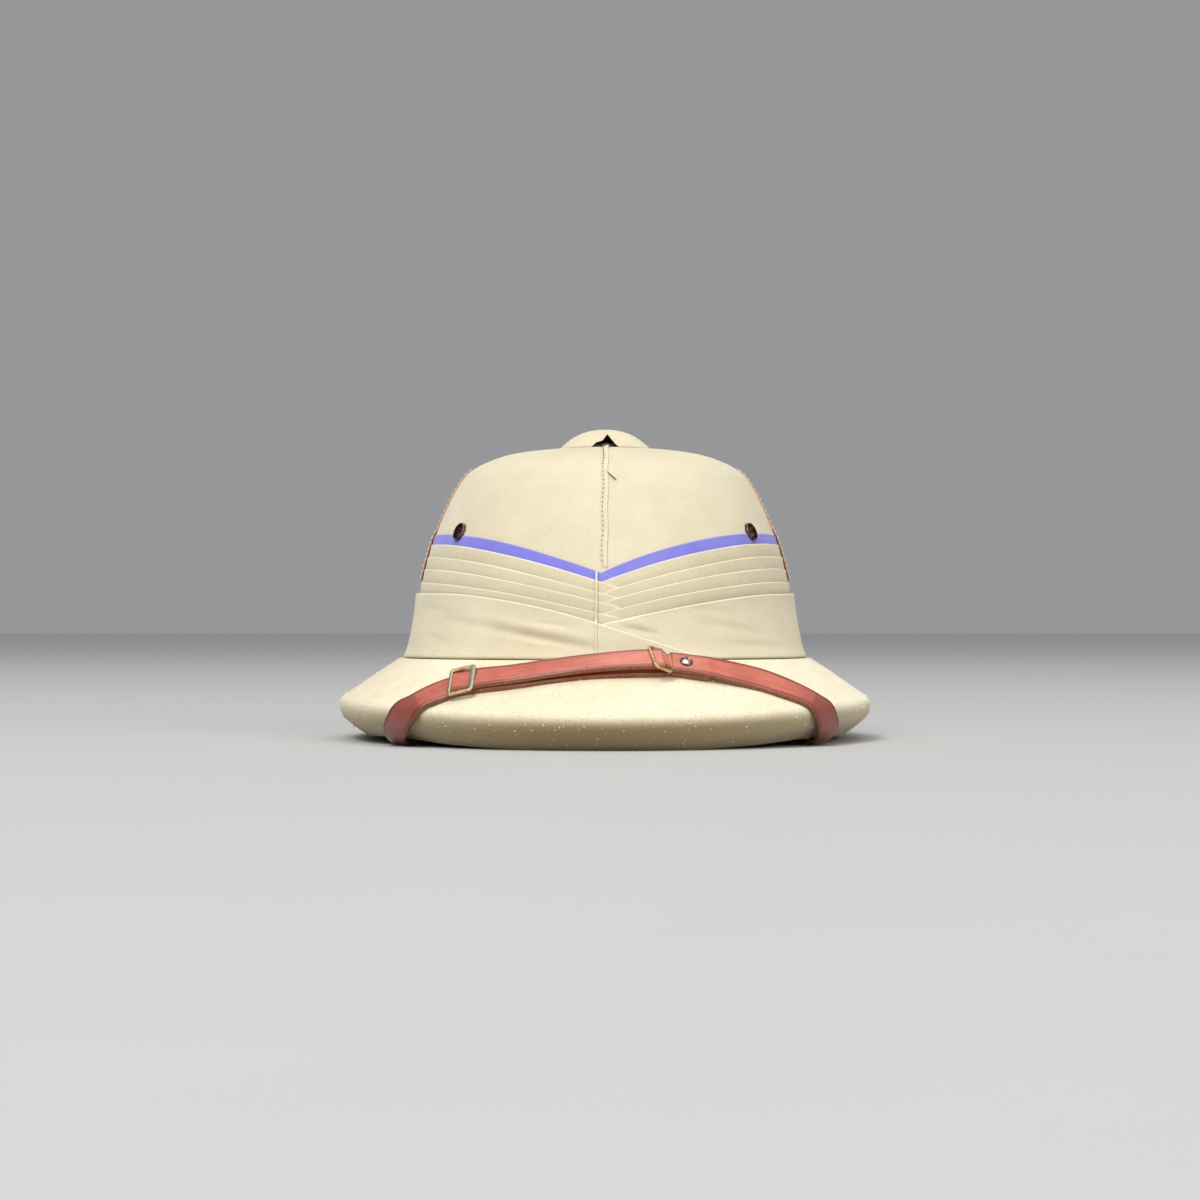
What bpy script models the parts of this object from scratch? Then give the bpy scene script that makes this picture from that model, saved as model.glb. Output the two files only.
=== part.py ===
"""A pith sun helmet: thick crown and sloping brim, folded cloth band, ventilator and leather chin strap.

Metres, +Z up, front towards -Y. The rim's lowest faces rest on Z = 0, centred on the origin.
A turn is the angle of the helmet's oval plan: 0 at the front, 90 degrees at the +X side, 180 at the back.
"""
import math

import bpy
from mathutils import Vector

MM = 0.001

# Clearance that touching pieces keep
GAP = 0.3 * MM

# Crown: half sizes where it stands on the brim, and heights above the resting plane
CROWN_HALF_WIDTH = 109.8 * MM
CROWN_LENGTH_EXTRA = 15.0 * MM
CROWN_BASE = 44.3 * MM
CROWN_TOP = 160.0 * MM
HEAD_HALF_WIDTH = 90.0 * MM
HEAD_LENGTH_EXTRA = 14.0 * MM
HEAD_ROOF = 145.0 * MM
VENT_RADIUS = 12.3 * MM

# Brim: half sizes of the corner at the crease and of the foot, before the corner is rounded
CREASE_HALF_WIDTH = 148.3 * MM
CREASE_HALF_LENGTH = 171.2 * MM
CREASE_SIDE_HEIGHT = 20.8 * MM
CREASE_FRONT_HEIGHT = 15.2 * MM
CREASE_ROUNDING = 8.0 * MM
FOOT_HALF_WIDTH = 132.5 * MM
FOOT_HALF_LENGTH = 157.0 * MM
FOOT_LAND = 3.2 * MM
FOOT_LIFT = 3.6 * MM
LEDGE_MARGIN = 3.8 * MM
UNDERSIDE_HEIGHT = 27.0 * MM

# Folded band
FOLD_CLOTH = 1.0 * MM
FOLD_TUCK = 1.6 * MM
FOLD_SHOULDER = 2.0 * MM
WRAP_CLOTH = 1.2 * MM
WRAP_SHOULDER = 6.0 * MM
CORD_RADIUS = 0.6 * MM
CORD_TURN = -2.5
SEAM_WIDTH = 4.6 * MM
SEAM_THICKNESS = 1.0 * MM
BINDING_WIDTH = 16.0 * MM
BINDING_THICKNESS = 1.2 * MM
BINDING_TOP = 147.0 * MM

# Ventilator and eyelets
CAP_RADIUS = 25.4 * MM
CAP_RISE = 11.0 * MM
CAP_CLOTH = 1.8 * MM
CAP_DOOR_WIDTH = 14.8 * MM
CAP_DOOR_HEIGHT = 7.4 * MM
COLLAR_WALL = 0.9 * MM
COLLAR_RISE = 2.4 * MM
COLLAR_DEPTH = 13.5 * MM
EYELET_RISE_SHARE = 0.592
EYELET_TURN = 55.0
EYELET_RADIUS = 5.0 * MM
EYELET_HOLE_RADIUS = 2.1 * MM
EYELET_WALL = 0.5 * MM
EYELET_LIP = 1.1 * MM
EYELET_DEPTH = 7.0 * MM

# Chin strap and its metal
STRAP_WIDTH = 12.8 * MM
STRAP_THICKNESS = 2.2 * MM
BUCKLE_LENGTH = 11.4 * MM
BUCKLE_BAR = 1.7 * MM
BUCKLE_SIDE_ROOM = 0.7 * MM
BUCKLE_THICKNESS = 1.4 * MM
RIVET_RADIUS = 3.2 * MM
RIVET_HEIGHT = 1.0 * MM
ANCHOR_RADIUS = 4.0 * MM
ANCHOR_HEIGHT = 1.4 * MM

# The plan's turns at which every ring has a vertex: every 6 degrees, and closer at the front
TURN_STEP = 6
FRONT_TURN = 2

# Flat sides of the round pieces, and how often a search halves its range
CORD_SIDES = 6
BUTTON_SIDES = 12
EYELET_SIDES = 14
COLLAR_SIDES = 24
CAP_SIDES = 32
HALVINGS = 30
UPWARDS = Vector((0, 0, 1))

# The crown's outline. rise: share of its height. width: share of the way from the vent hole to the base
CROWN_OUTLINE = (
    {"rise": 0.000, "width": 1.000},
    {"rise": 0.060, "width": 0.973},
    {"rise": 0.190, "width": 0.943},
    {"rise": 0.310, "width": 0.924},
    {"rise": 0.420, "width": 0.893},
    {"rise": 0.520, "width": 0.860},
    {"rise": 0.610, "width": 0.822},
    {"rise": 0.706, "width": 0.774},
    {"rise": 0.800, "width": 0.717},
    {"rise": 0.874, "width": 0.653},
    {"rise": 0.927, "width": 0.548},
    {"rise": 0.966, "width": 0.400},
    {"rise": 0.990, "width": 0.170},
    {"rise": 1.000, "width": 0.000},
)

# How far the foot stands off the resting plane. turn: degrees from front or back. lift: share of FOOT_LIFT
FOOT_OUTLINE = (
    {"turn": 0, "lift": 0.00},
    {"turn": 20, "lift": 0.00},
    {"turn": 36, "lift": 0.40},
    {"turn": 48, "lift": 0.95},
    {"turn": 60, "lift": 1.00},
    {"turn": 75, "lift": 0.80},
    {"turn": 90, "lift": 0.65},
)

# Top edges of the band's layers, as shares of the crown's height. front: at the V. side and back: there.
# bow: the power of the curve from the V to the side, on the -X (left) and the +X (right) half.
FOLD_EDGES = (
    {"name": "colour_fold", "front": 0.372, "side": 0.577, "back": 0.545, "bow_left": 1.65, "bow_right": 2.00},
    {"name": "fold_1", "front": 0.334, "side": 0.531, "back": 0.500, "bow_left": 1.50, "bow_right": 1.72},
    {"name": "fold_2", "front": 0.292, "side": 0.473, "back": 0.442, "bow_left": 1.40, "bow_right": 1.60},
    {"name": "fold_3", "front": 0.244, "side": 0.415, "back": 0.384, "bow_left": 1.40, "bow_right": 1.60},
    {"name": "fold_4", "front": 0.192, "side": 0.353, "back": 0.322, "bow_left": 1.40, "bow_right": 1.60},
    {"name": "lower_wrap", "front": 0.152, "side": 0.300, "back": 0.268, "bow_left": 1.60, "bow_right": 1.60},
)

# The wrap's laid-over end at the front: where it starts to climb, is clear of the layer below, and runs out
TAIL_CLIMB_TURN = -1.8
TAIL_CLEAR_TURN = -0.3
TAIL_START_TURN = 0.2
TAIL_END_TURN = 27.0

# Routes of the strap's middle over the brim's top, from its visible end out to the crease. turn: degrees.
# down: share of the way from the ledge to the crease. lift: the underside's height over the brim, and
# thick: the leather, both as shares of the strap's thickness.
STRAP_LEFT_ROUTE = (
    {"turn": 13.2, "down": 0.172, "lift": 0.0, "thick": 1.0},
    {"turn": 5, "down": 0.170, "lift": 0.0, "thick": 1.0},
    {"turn": -4, "down": 0.185, "lift": 0.0, "thick": 1.0},
    {"turn": -13, "down": 0.235, "lift": 0.0, "thick": 1.0},
    {"turn": -22, "down": 0.33, "lift": 0.0, "thick": 1.0},
    {"turn": -30, "down": 0.46, "lift": 0.0, "thick": 1.0},
    {"turn": -36, "down": 0.59, "lift": 0.0, "thick": 1.0},
    {"turn": -41.5, "down": 0.78, "lift": 0.0, "thick": 1.0},
    {"turn": -45.5, "down": 1.00, "lift": 0.0, "thick": 1.0},
)
STRAP_TOP_ROUTE = (
    {"turn": 13.4, "down": 0.172, "lift": 1.0, "thick": 1.0},
    {"turn": 5, "down": 0.170, "lift": 1.0, "thick": 1.0},
    {"turn": -4, "down": 0.185, "lift": 1.0, "thick": 1.0},
    {"turn": -13, "down": 0.235, "lift": 1.0, "thick": 1.0},
    {"turn": -22, "down": 0.33, "lift": 1.0, "thick": 1.0},
    {"turn": -30, "down": 0.46, "lift": 1.0, "thick": 1.0},
    {"turn": -34.6, "down": 0.565, "lift": 1.0, "thick": 1.0},
)
STRAP_RIGHT_ROUTE = (
    {"turn": 17.2, "down": 0.185, "lift": 0.0, "thick": 2.1},
    {"turn": 20.5, "down": 0.22, "lift": 0.0, "thick": 2.1},
    {"turn": 24.5, "down": 0.27, "lift": 0.0, "thick": 2.1},
    {"turn": 28.5, "down": 0.345, "lift": 0.0, "thick": 1.3},
    {"turn": 34, "down": 0.46, "lift": 0.0, "thick": 1.0},
    {"turn": 40, "down": 0.60, "lift": 0.0, "thick": 1.0},
    {"turn": 46.5, "down": 0.79, "lift": 0.0, "thick": 1.0},
    {"turn": 51, "down": 1.00, "lift": 0.0, "thick": 1.0},
)

# The strap's hidden way on: over the rounded crease (places 1 to 5 of the brim's outline), round the foot
# (6 and 7), across the underside (8) and up inside the head opening (9). slide: share of the turn from
# where it leaves the top to its anchor.
STRAP_HIDDEN_ROUTE = (
    {"place": 1.0, "slide": 0.00},
    {"place": 2.0, "slide": 0.05},
    {"place": 3.0, "slide": 0.10},
    {"place": 4.0, "slide": 0.15},
    {"place": 5.0, "slide": 0.20},
    {"place": 6.0, "slide": 0.42},
    {"place": 7.0, "slide": 0.48},
    {"place": 7.5, "slide": 0.76},
    {"place": 8.0, "slide": 1.00},
    {"place": 8.8, "slide": 1.00},
)
STRAP_ANCHOR_TURN = 64.0
STRAP_ANCHOR_PLACE = 8.5

# From this share of the way down, the strap's sections swing to lie along the crease
CREASE_SWING = 0.55

# The two frames' middle over the brim and their lean, in layers of strap. The rivet's share of its route
FRAME_LAYERS = 1.75
FRAME_LEAN = 1.3
RIVET_SHARE = 0.11


def clear_scene():
    for old in list(bpy.data.objects):
        bpy.data.objects.remove(old)


def make_material(name, color, roughness, metallic=0.0):
    material = bpy.data.materials.new(name)
    material.use_nodes = True
    shader = material.node_tree.nodes["Principled BSDF"]
    shader.inputs["Base Color"].default_value = (*color, 1.0)
    shader.inputs["Roughness"].default_value = roughness
    shader.inputs["Metallic"].default_value = metallic
    return material


def between(rows, key, value, column):
    """Reads a column of a table at a value of its key column, along straight lines."""
    if value <= rows[0][key]:
        return rows[0][column]
    for low, high in zip(rows, rows[1:]):
        if value <= high[key]:
            share = (value - low[key]) / (high[key] - low[key])
            return low[column] + share * (high[column] - low[column])
    return rows[-1][column]


def along(rows, share, column):
    """Reads a column along a smooth curve through a table's rows, for a share of the way through them."""
    place = share * (len(rows) - 1)
    first = min(int(place), len(rows) - 2)
    t = place - first
    p0 = rows[max(first - 1, 0)][column]
    p1 = rows[first][column]
    p2 = rows[first + 1][column]
    p3 = rows[min(first + 2, len(rows) - 1)][column]
    return 0.5 * (2 * p1 + (p2 - p0) * t + (2 * p0 - 5 * p1 + 4 * p2 - p3) * t ** 2
                  + (3 * p1 - p0 - 3 * p2 + p3) * t ** 3)


def oval(half_width, half_length, turn, height):
    angle = math.radians(turn)
    return Vector((half_width * math.sin(angle), -half_length * math.cos(angle), height))


def all_turns():
    """The turns of a closed ring, from the front round the +X side."""
    return [0, FRONT_TURN] + list(range(TURN_STEP, 360, TURN_STEP)) + [360 - FRONT_TURN]


def side_share(turn):
    """0 at the front and back, 1 at the sides."""
    return abs(math.sin(math.radians(turn)))


# Crown surfaces

def share_while(holds):
    """The share of the crown's outline up to which a condition holds, found by halving."""
    low, high = 0.0, 1.0
    for _ in range(HALVINGS):
        middle = 0.5 * (low + high)
        if holds(middle):
            low = middle
        else:
            high = middle
    return low


def crown_share_at(height):
    """The share of the crown's outline at which it reaches a height."""
    return share_while(lambda share: crown_outline(share)[1] < height)


def crown_share_at_radius(radius):
    """The share of the crown's outline at which its half width shrinks to a radius."""
    return share_while(lambda share: crown_outline(share)[0] > radius)


def crown_outline(share):
    """Half width and height of the crown's outer face at a share of its outline."""
    width = along(CROWN_OUTLINE, share, "width")
    rise = along(CROWN_OUTLINE, share, "rise")
    half_width = VENT_RADIUS + width * (CROWN_HALF_WIDTH - VENT_RADIUS)
    return half_width, CROWN_BASE + rise * (CROWN_TOP - CROWN_BASE)


def crown_point(turn, share, off=0.0):
    """A point a distance off the crown's outer face, along its normal."""
    width, height = crown_outline(share)
    step = 0.01
    below = crown_outline(max(share - step, 0.0))
    above = crown_outline(min(share + step, 1.0))
    slope = Vector((above[1] - below[1], below[0] - above[0])).normalized()
    stretch = (width - VENT_RADIUS) / (CROWN_HALF_WIDTH - VENT_RADIUS) * CROWN_LENGTH_EXTRA
    return oval(width + off * slope.x, width + stretch + off * slope.x, turn, height + off * slope.y)


def band_point(turn, height, off):
    """A point a level distance off the crown's outer face, at a height."""
    width = crown_outline(crown_share_at(height))[0]
    stretch = (width - VENT_RADIUS) / (CROWN_HALF_WIDTH - VENT_RADIUS) * CROWN_LENGTH_EXTRA
    return oval(width + off, width + stretch + off, turn, height)


def edge_height(edge, turn):
    """Height of a fold's top edge: a V at the front, level at the sides and slightly lower behind."""
    turn = (turn + 180) % 360 - 180
    rise = CROWN_TOP - CROWN_BASE
    bow = edge["bow_right"] if turn >= 0 else edge["bow_left"]
    if abs(turn) <= 90:
        share = edge["side"] - (edge["side"] - edge["front"]) * (1 - side_share(turn)) ** bow
    else:
        share = edge["back"] + (edge["side"] - edge["back"]) * side_share(turn) ** 2
    return CROWN_BASE + rise * share


# Brim surfaces

def foot_height(turn):
    folded = math.degrees(math.asin(min(side_share(turn), 1.0)))
    return FOOT_LIFT * between(FOOT_OUTLINE, "turn", folded, "lift")


def brim_outline(turn):
    """The brim's outline at a turn, as rows of half width, half length and height."""
    side = side_share(turn) ** 2
    crease_height = CREASE_FRONT_HEIGHT + (CREASE_SIDE_HEIGHT - CREASE_FRONT_HEIGHT) * side
    ledge_width = CROWN_HALF_WIDTH + LEDGE_MARGIN
    ledge = Vector((ledge_width, ledge_width + CROWN_LENGTH_EXTRA, CROWN_BASE - GAP))
    crease = Vector((CREASE_HALF_WIDTH, CREASE_HALF_LENGTH, crease_height))
    foot = Vector((FOOT_HALF_WIDTH, FOOT_HALF_LENGTH, foot_height(turn)))
    start = crease + (ledge - crease).normalized() * CREASE_ROUNDING
    end = crease + (foot - crease).normalized() * CREASE_ROUNDING
    rows = [ledge]
    for step in range(5):
        t = step / 4
        rows.append(start * (1 - t) ** 2 + crease * 2 * t * (1 - t) + end * t ** 2)
    rows.append(foot)
    rows.append(foot - Vector((FOOT_LAND, FOOT_LAND, 0)))
    head_length = HEAD_HALF_WIDTH + HEAD_LENGTH_EXTRA
    rows.append(Vector((HEAD_HALF_WIDTH, head_length, UNDERSIDE_HEIGHT)))
    rows.append(Vector((HEAD_HALF_WIDTH, head_length, CROWN_BASE - GAP)))
    return rows


def brim_point(turn, down, off):
    """A point a distance off the brim's outer face, at a place on its outline."""
    rows = brim_outline(turn)
    side = side_share(turn) ** 2
    flat = [Vector((row.x * side + row.y * (1 - side), row.z)) for row in rows]
    first = min(int(down), len(rows) - 2)

    def normal(index):
        step = (flat[index + 1] - flat[index]).normalized()
        return Vector((-step.y, step.x))

    def corner(index):
        before = normal(max(index - 1, 0))
        after = normal(min(index, len(rows) - 2))
        return (before + after) / (1 + before.dot(after))

    t = down - first
    row = rows[first].lerp(rows[first + 1], t)
    away = corner(first).lerp(corner(first + 1), t) * off
    return oval(row.x + away.x, row.y + away.x, turn, row.z + away.y)


# Mesh makers

def add_object(name, points, faces, material, smooth_angle=40.0):
    mesh = bpy.data.meshes.new(name)
    mesh.from_pydata([tuple(p) for p in points], [], faces)
    mesh.materials.append(material)
    mesh.shade_smooth()
    mesh.set_sharp_from_angle(angle=math.radians(smooth_angle))
    mesh.update()
    made = bpy.data.objects.new(name, mesh)
    bpy.context.scene.collection.objects.link(made)
    return made


def loop_faces(rings, closed):
    """Quads between rings of equal size, and end caps across them where the row of rings is open."""
    count = len(rings[0])
    faces = []
    last = len(rings) if closed else len(rings) - 1
    for i in range(last):
        j = (i + 1) % len(rings)
        for k in range(count):
            m = (k + 1) % count
            faces.append((i * count + k, i * count + m, j * count + m, j * count + k))
    if not closed:
        for k in range((count - 1) // 2):
            cap = tuple(dict.fromkeys((k, k + 1, count - 2 - k, count - 1 - k)))
            faces.append(tuple(reversed(cap)))
            faces.append(tuple((len(rings) - 1) * count + corner for corner in cap))
    return faces


def signed_volume(points, faces):
    total = 0.0
    for face in faces:
        for b, c in zip(face[1:], face[2:]):
            total += Vector(points[face[0]]).dot(Vector(points[b]).cross(Vector(points[c])))
    return total


def add_rings(name, rings, material, closed=True, smooth_angle=40.0):
    """One closed body from rings of points, with its faces pointing out."""
    points = [p for ring in rings for p in ring]
    faces = loop_faces(rings, closed)
    if signed_volume(points, faces) < 0:
        faces = [tuple(reversed(face)) for face in faces]
    return add_object(name, points, faces, material, smooth_angle)


def add_turned(name, profile, sides, centre, axis, material, smooth_angle=40.0):
    """A ring turned about an axis from a closed profile of radius and height."""
    axis = axis.normalized()
    across = axis.orthogonal().normalized()
    other = axis.cross(across)
    rings = []
    for i in range(sides):
        angle = math.tau * i / sides
        out = across * math.cos(angle) + other * math.sin(angle)
        rings.append([centre + out * radius + axis * height for radius, height in profile])
    return add_rings(name, rings, material, True, smooth_angle)


def add_button(name, profile, sides, centre, axis, material):
    """A solid of revolution whose profile starts and ends on its axis."""
    axis = axis.normalized()
    across = axis.orthogonal().normalized()
    other = axis.cross(across)
    points = [centre + axis * profile[0][1]]
    inner = profile[1:-1]
    for radius, height in inner:
        for i in range(sides):
            angle = math.tau * i / sides
            out = across * math.cos(angle) + other * math.sin(angle)
            points.append(centre + out * radius + axis * height)
    points.append(centre + axis * profile[-1][1])
    faces = []
    for i in range(sides):
        j = (i + 1) % sides
        faces.append((0, 1 + j, 1 + i))
        for r in range(len(inner) - 1):
            low = 1 + r * sides
            faces.append((low + i, low + j, low + sides + j, low + sides + i))
        top = 1 + (len(inner) - 1) * sides
        faces.append((top + i, top + j, len(points) - 1))
    if signed_volume(points, faces) < 0:
        faces = [tuple(reversed(face)) for face in faces]
    return add_object(name, points, faces, material)


def cut(target, cutter):
    """Takes a hidden cutter out of a piece."""
    cutter.hide_render = True
    cutter.display_type = "WIRE"
    modifier = target.modifiers.new("cut", "BOOLEAN")
    modifier.operation = "DIFFERENCE"
    modifier.solver = "EXACT"
    modifier.object = cutter


# Crown and brim

def make_crown(material):
    outer_steps = 15
    inner_steps = 8
    rings = []
    for turn in all_turns():
        ring = [crown_point(turn, i / outer_steps) for i in range(outer_steps + 1)]
        for i in range(inner_steps, -1, -1):
            width = along(CROWN_OUTLINE, i / inner_steps, "width")
            rise = along(CROWN_OUTLINE, i / inner_steps, "rise")
            half = VENT_RADIUS + width * (HEAD_HALF_WIDTH - VENT_RADIUS)
            height = CROWN_BASE + rise * (HEAD_ROOF - CROWN_BASE)
            ring.append(oval(half, half + width * HEAD_LENGTH_EXTRA, turn, height))
        rings.append(ring)
    crown = add_rings("crown", rings, material)
    for side in (-1, 1):
        centre, axis = eyelet_seat(side)
        drill = EYELET_HOLE_RADIUS + EYELET_WALL + GAP
        wall = CROWN_HALF_WIDTH - HEAD_HALF_WIDTH
        reach = 2 * wall
        profile = [(0, -reach), (drill, -reach), (drill, wall), (0, wall)]
        cut(crown, add_button("eyelet_drill", profile, BUTTON_SIDES, centre, axis, material))
    return crown


def make_brim(material):
    return add_rings("brim", [[oval(row.x, row.y, turn, row.z) for row in brim_outline(turn)]
                              for turn in all_turns()], material)


# Folded band

def fold_offsets():
    """Level distances off the crown: of a layer's tucked foot, its shoulder and its standing edge."""
    foot = GAP
    shoulder = foot + FOLD_CLOTH + 1.5 * GAP
    return foot, shoulder, shoulder + 0.5 * GAP


def make_fold(edge, next_edge, first, material):
    foot, shoulder, standing = fold_offsets()
    rings = []
    for turn in all_turns():
        top = edge_height(edge, turn)
        bottom = edge_height(next_edge, turn) - FOLD_TUCK
        if first:
            line = [(bottom, foot), (top, foot)]
        else:
            line = [(bottom, foot), (top - FOLD_SHOULDER, shoulder), (top, standing)]
        ring = [band_point(turn, height, off) for height, off in line]
        ring += [band_point(turn, height, off + FOLD_CLOTH) for height, off in reversed(line)]
        rings.append(ring)
    return add_rings(edge["name"], rings, material)


def wrap_offset(turn, height):
    """Level distance of the wrap's inner face off the crown, at a turn and height."""
    foot, shoulder, standing = fold_offsets()
    below = edge_height(FOLD_EDGES[-1], turn) - height
    rows = (
        {"below": 0.0, "off": standing},
        {"below": FOLD_SHOULDER, "off": shoulder},
        {"below": WRAP_SHOULDER, "off": foot},
    )
    return between(rows, "below", below, "off")


def make_lower_wrap(material):
    """One turn of cloth whose end is laid over its start and runs down to the brim across the front."""
    edge = FOLD_EDGES[-1]
    turns = [TAIL_START_TURN] + all_turns()[1:] + [360 + TAIL_CLIMB_TURN, 360 + TAIL_CLEAR_TURN]
    tail_turn = TAIL_END_TURN - TAIL_CLEAR_TURN
    tail = [360 + TAIL_CLEAR_TURN + share * tail_turn for share in (0.1, 0.3, 0.55, 0.8, 1.0)]
    foot = CROWN_BASE
    tail_top = edge_height(edge, 360 + TAIL_CLEAR_TURN)
    rings = []
    for turn in turns + tail:
        on_tail = max(0.0, (turn - 360 - TAIL_CLEAR_TURN) / tail_turn)
        top = edge_height(edge, turn)
        if on_tail > 0:
            top = tail_top + (foot + 2 * WRAP_CLOTH - tail_top) * on_tail
        climb = (turn - 360 - TAIL_CLIMB_TURN) / (TAIL_CLEAR_TURN - TAIL_CLIMB_TURN)
        climb = min(max(climb, 0.0), 1.0) * (WRAP_CLOTH + 1.5 * GAP)
        shoulder = min(FOLD_SHOULDER, 0.4 * (top - foot))
        knee = min(WRAP_SHOULDER, 0.7 * (top - foot))
        heights = [foot, top - knee, top - shoulder, top]
        line = [(height, wrap_offset(turn, height) + climb) for height in heights]
        ring = [band_point(turn, height, off) for height, off in line]
        ring += [band_point(turn, height, off + WRAP_CLOTH) for height, off in reversed(line)]
        rings.append(ring)
    return add_rings("lower_wrap", rings, material, closed=False)


def make_front_cord(material):
    """The tacking cord, which lies over every layer from the top fold's edge to the wrap's foot."""
    _, _, standing = fold_offsets()
    circle = [math.tau * i / CORD_SIDES for i in range(CORD_SIDES)]
    over_folds = standing + max(FOLD_CLOTH, WRAP_CLOTH) + GAP + CORD_RADIUS
    top = edge_height(FOLD_EDGES[0], CORD_TURN)
    wrap_top = edge_height(FOLD_EDGES[-1], CORD_TURN)
    over_wrap = GAP + WRAP_CLOTH + GAP + CORD_RADIUS
    route = [(top, over_folds - FOLD_CLOTH)]
    route += [(edge_height(edge, CORD_TURN), over_folds) for edge in FOLD_EDGES[1:]]
    route += [(wrap_top - FOLD_SHOULDER, over_folds), (wrap_top - WRAP_SHOULDER, over_wrap + GAP)]
    route += [(CROWN_BASE + 2 * CORD_RADIUS, over_wrap + GAP)]
    rings = []
    for height, off in route:
        centre = band_point(CORD_TURN, height, off)
        rings.append([centre + CORD_RADIUS * Vector((math.cos(angle), math.sin(angle), 0)) for angle in circle])
    return add_rings("front_cord", rings, material, closed=False)


# Trim on the crown

def add_crown_strip(name, turns, stations, thickness, material):
    """A strip on the crown. stations: rows of outline share and distance off the crown."""
    rings = []
    for share, off in stations:
        ring = [crown_point(turn, share, off) for turn in turns]
        ring += [crown_point(turn, share, off + thickness) for turn in reversed(turns)]
        rings.append(ring)
    return add_rings(name, rings, material, closed=False)


def make_seam_lap(name, middle_turn, material):
    foot = crown_share_at(edge_height(FOLD_EDGES[0], middle_turn + FRONT_TURN) + GAP)
    head = share_while(lambda share: -crown_point(0, share).y > CAP_RADIUS + 2 * GAP)
    steps = 12
    rings = []
    for i in range(steps + 1):
        share = foot + (head - foot) * i / steps
        here = max(crown_outline(share)[0], CAP_RADIUS)
        local = math.degrees(SEAM_WIDTH / 2 / here)
        ring = [crown_point(middle_turn + side * local, share, GAP) for side in (-1, 0, 1)]
        ring += [crown_point(middle_turn + side * local, share, GAP + SEAM_THICKNESS) for side in (1, 0, -1)]
        rings.append(ring)
    return add_rings(name, rings, material, closed=False)


def make_side_binding(name, middle_turn, material):
    spread = math.degrees(BINDING_WIDTH / 2 / (CROWN_HALF_WIDTH + CROWN_LENGTH_EXTRA))
    _, _, standing = fold_offsets()
    over_folds = standing + FOLD_CLOTH + GAP
    fold_top = edge_height(FOLD_EDGES[0], middle_turn)
    foot = edge_height(FOLD_EDGES[4], middle_turn) + 2 * GAP
    first_fold = edge_height(FOLD_EDGES[1], middle_turn)
    heights = (
        (foot, over_folds),
        (first_fold + FOLD_TUCK, over_folds),
        (fold_top + FOLD_SHOULDER, GAP + FOLD_CLOTH + GAP),
        (fold_top + 2 * FOLD_SHOULDER, GAP),
    )
    stations = [(crown_share_at(height), off) for height, off in heights]
    steps = 6
    low, high = stations[-1][0], crown_share_at(BINDING_TOP)
    stations += [(low + (high - low) * i / steps, GAP) for i in range(1, steps + 1)]
    turns = (middle_turn - spread, middle_turn, middle_turn + spread)
    return add_crown_strip(name, turns, stations, BINDING_THICKNESS, material)


# Ventilator and eyelets

def make_ventilator_cap(material):
    radius = (CAP_RADIUS ** 2 + CAP_RISE ** 2) / (2 * CAP_RISE)
    base = crown_outline(crown_share_at_radius(CAP_RADIUS))[1] + GAP
    centre_height = base + CAP_RISE - radius
    outer_angle = math.asin(CAP_RADIUS / radius)
    inner_radius = radius - CAP_CLOTH
    inner_angle = math.acos((base - centre_height) / inner_radius)
    steps = 5
    profile = []
    for i in range(steps + 1):
        angle = outer_angle * i / steps
        profile.append((radius * math.sin(angle), radius * math.cos(angle)))
    for i in range(steps, -1, -1):
        angle = inner_angle * i / steps
        profile.append((inner_radius * math.sin(angle), inner_radius * math.cos(angle)))
    cap = add_button("ventilator_cap", profile, CAP_SIDES, Vector((0, 0, centre_height)), UPWARDS, material)
    reach = CAP_RADIUS * 1.2
    half = CAP_DOOR_WIDTH / 2
    below = base - CAP_CLOTH
    slant = half * (CAP_CLOTH / CAP_DOOR_HEIGHT)
    door = [(-half - slant, below), (half + slant, below), (0, base + CAP_DOOR_HEIGHT)]
    rings = [[Vector((x, y, z)) for x, z in door] for y in (-reach, 0)]
    cut(cap, add_rings("cap_door", rings, material, closed=False))
    return cap


def make_ventilator_collar(material):
    outer = VENT_RADIUS - GAP
    inner = outer - COLLAR_WALL
    top = CROWN_TOP + COLLAR_RISE
    bottom = CROWN_TOP - COLLAR_DEPTH
    profile = [(outer, bottom), (outer, top), (inner, top), (inner, bottom)]
    return add_turned("ventilator_collar", profile, COLLAR_SIDES, Vector((0, 0, 0)), UPWARDS, material)


def eyelet_seat(side):
    """The place and direction of an eyelet, on the crown's outer face."""
    share = crown_share_at(CROWN_BASE + EYELET_RISE_SHARE * (CROWN_TOP - CROWN_BASE))
    turn = side * EYELET_TURN
    place = crown_point(turn, share)
    along_turn = crown_point(turn + 1, share) - crown_point(turn - 1, share)
    up = crown_point(turn, share + 0.01) - crown_point(turn, share - 0.01)
    return place, along_turn.cross(up).normalized()


def make_eyelet(name, side, material):
    centre, axis = eyelet_seat(side)
    back = 2 * GAP + FOLD_CLOTH
    barrel = EYELET_HOLE_RADIUS + EYELET_WALL
    profile = [
        (EYELET_HOLE_RADIUS, -EYELET_DEPTH),
        (barrel, -EYELET_DEPTH),
        (barrel, back),
        (EYELET_RADIUS, back),
        (EYELET_RADIUS - 0.3 * EYELET_LIP, back + 0.6 * EYELET_LIP),
        (EYELET_HOLE_RADIUS + 2 * EYELET_WALL, back + EYELET_LIP),
        (EYELET_HOLE_RADIUS, back + 0.6 * EYELET_LIP),
    ]
    return add_turned(name, profile, EYELET_SIDES, centre, axis, material)


# Chin strap

def route_values(route, share):
    return [along(route, share, column) for column in ("turn", "down", "lift", "thick")]


def slope_length(turn):
    """Length of the brim's top from the ledge to the rounded crease."""
    return (brim_point(turn, 1.0, 0) - brim_point(turn, 0.0, 0)).length


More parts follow.
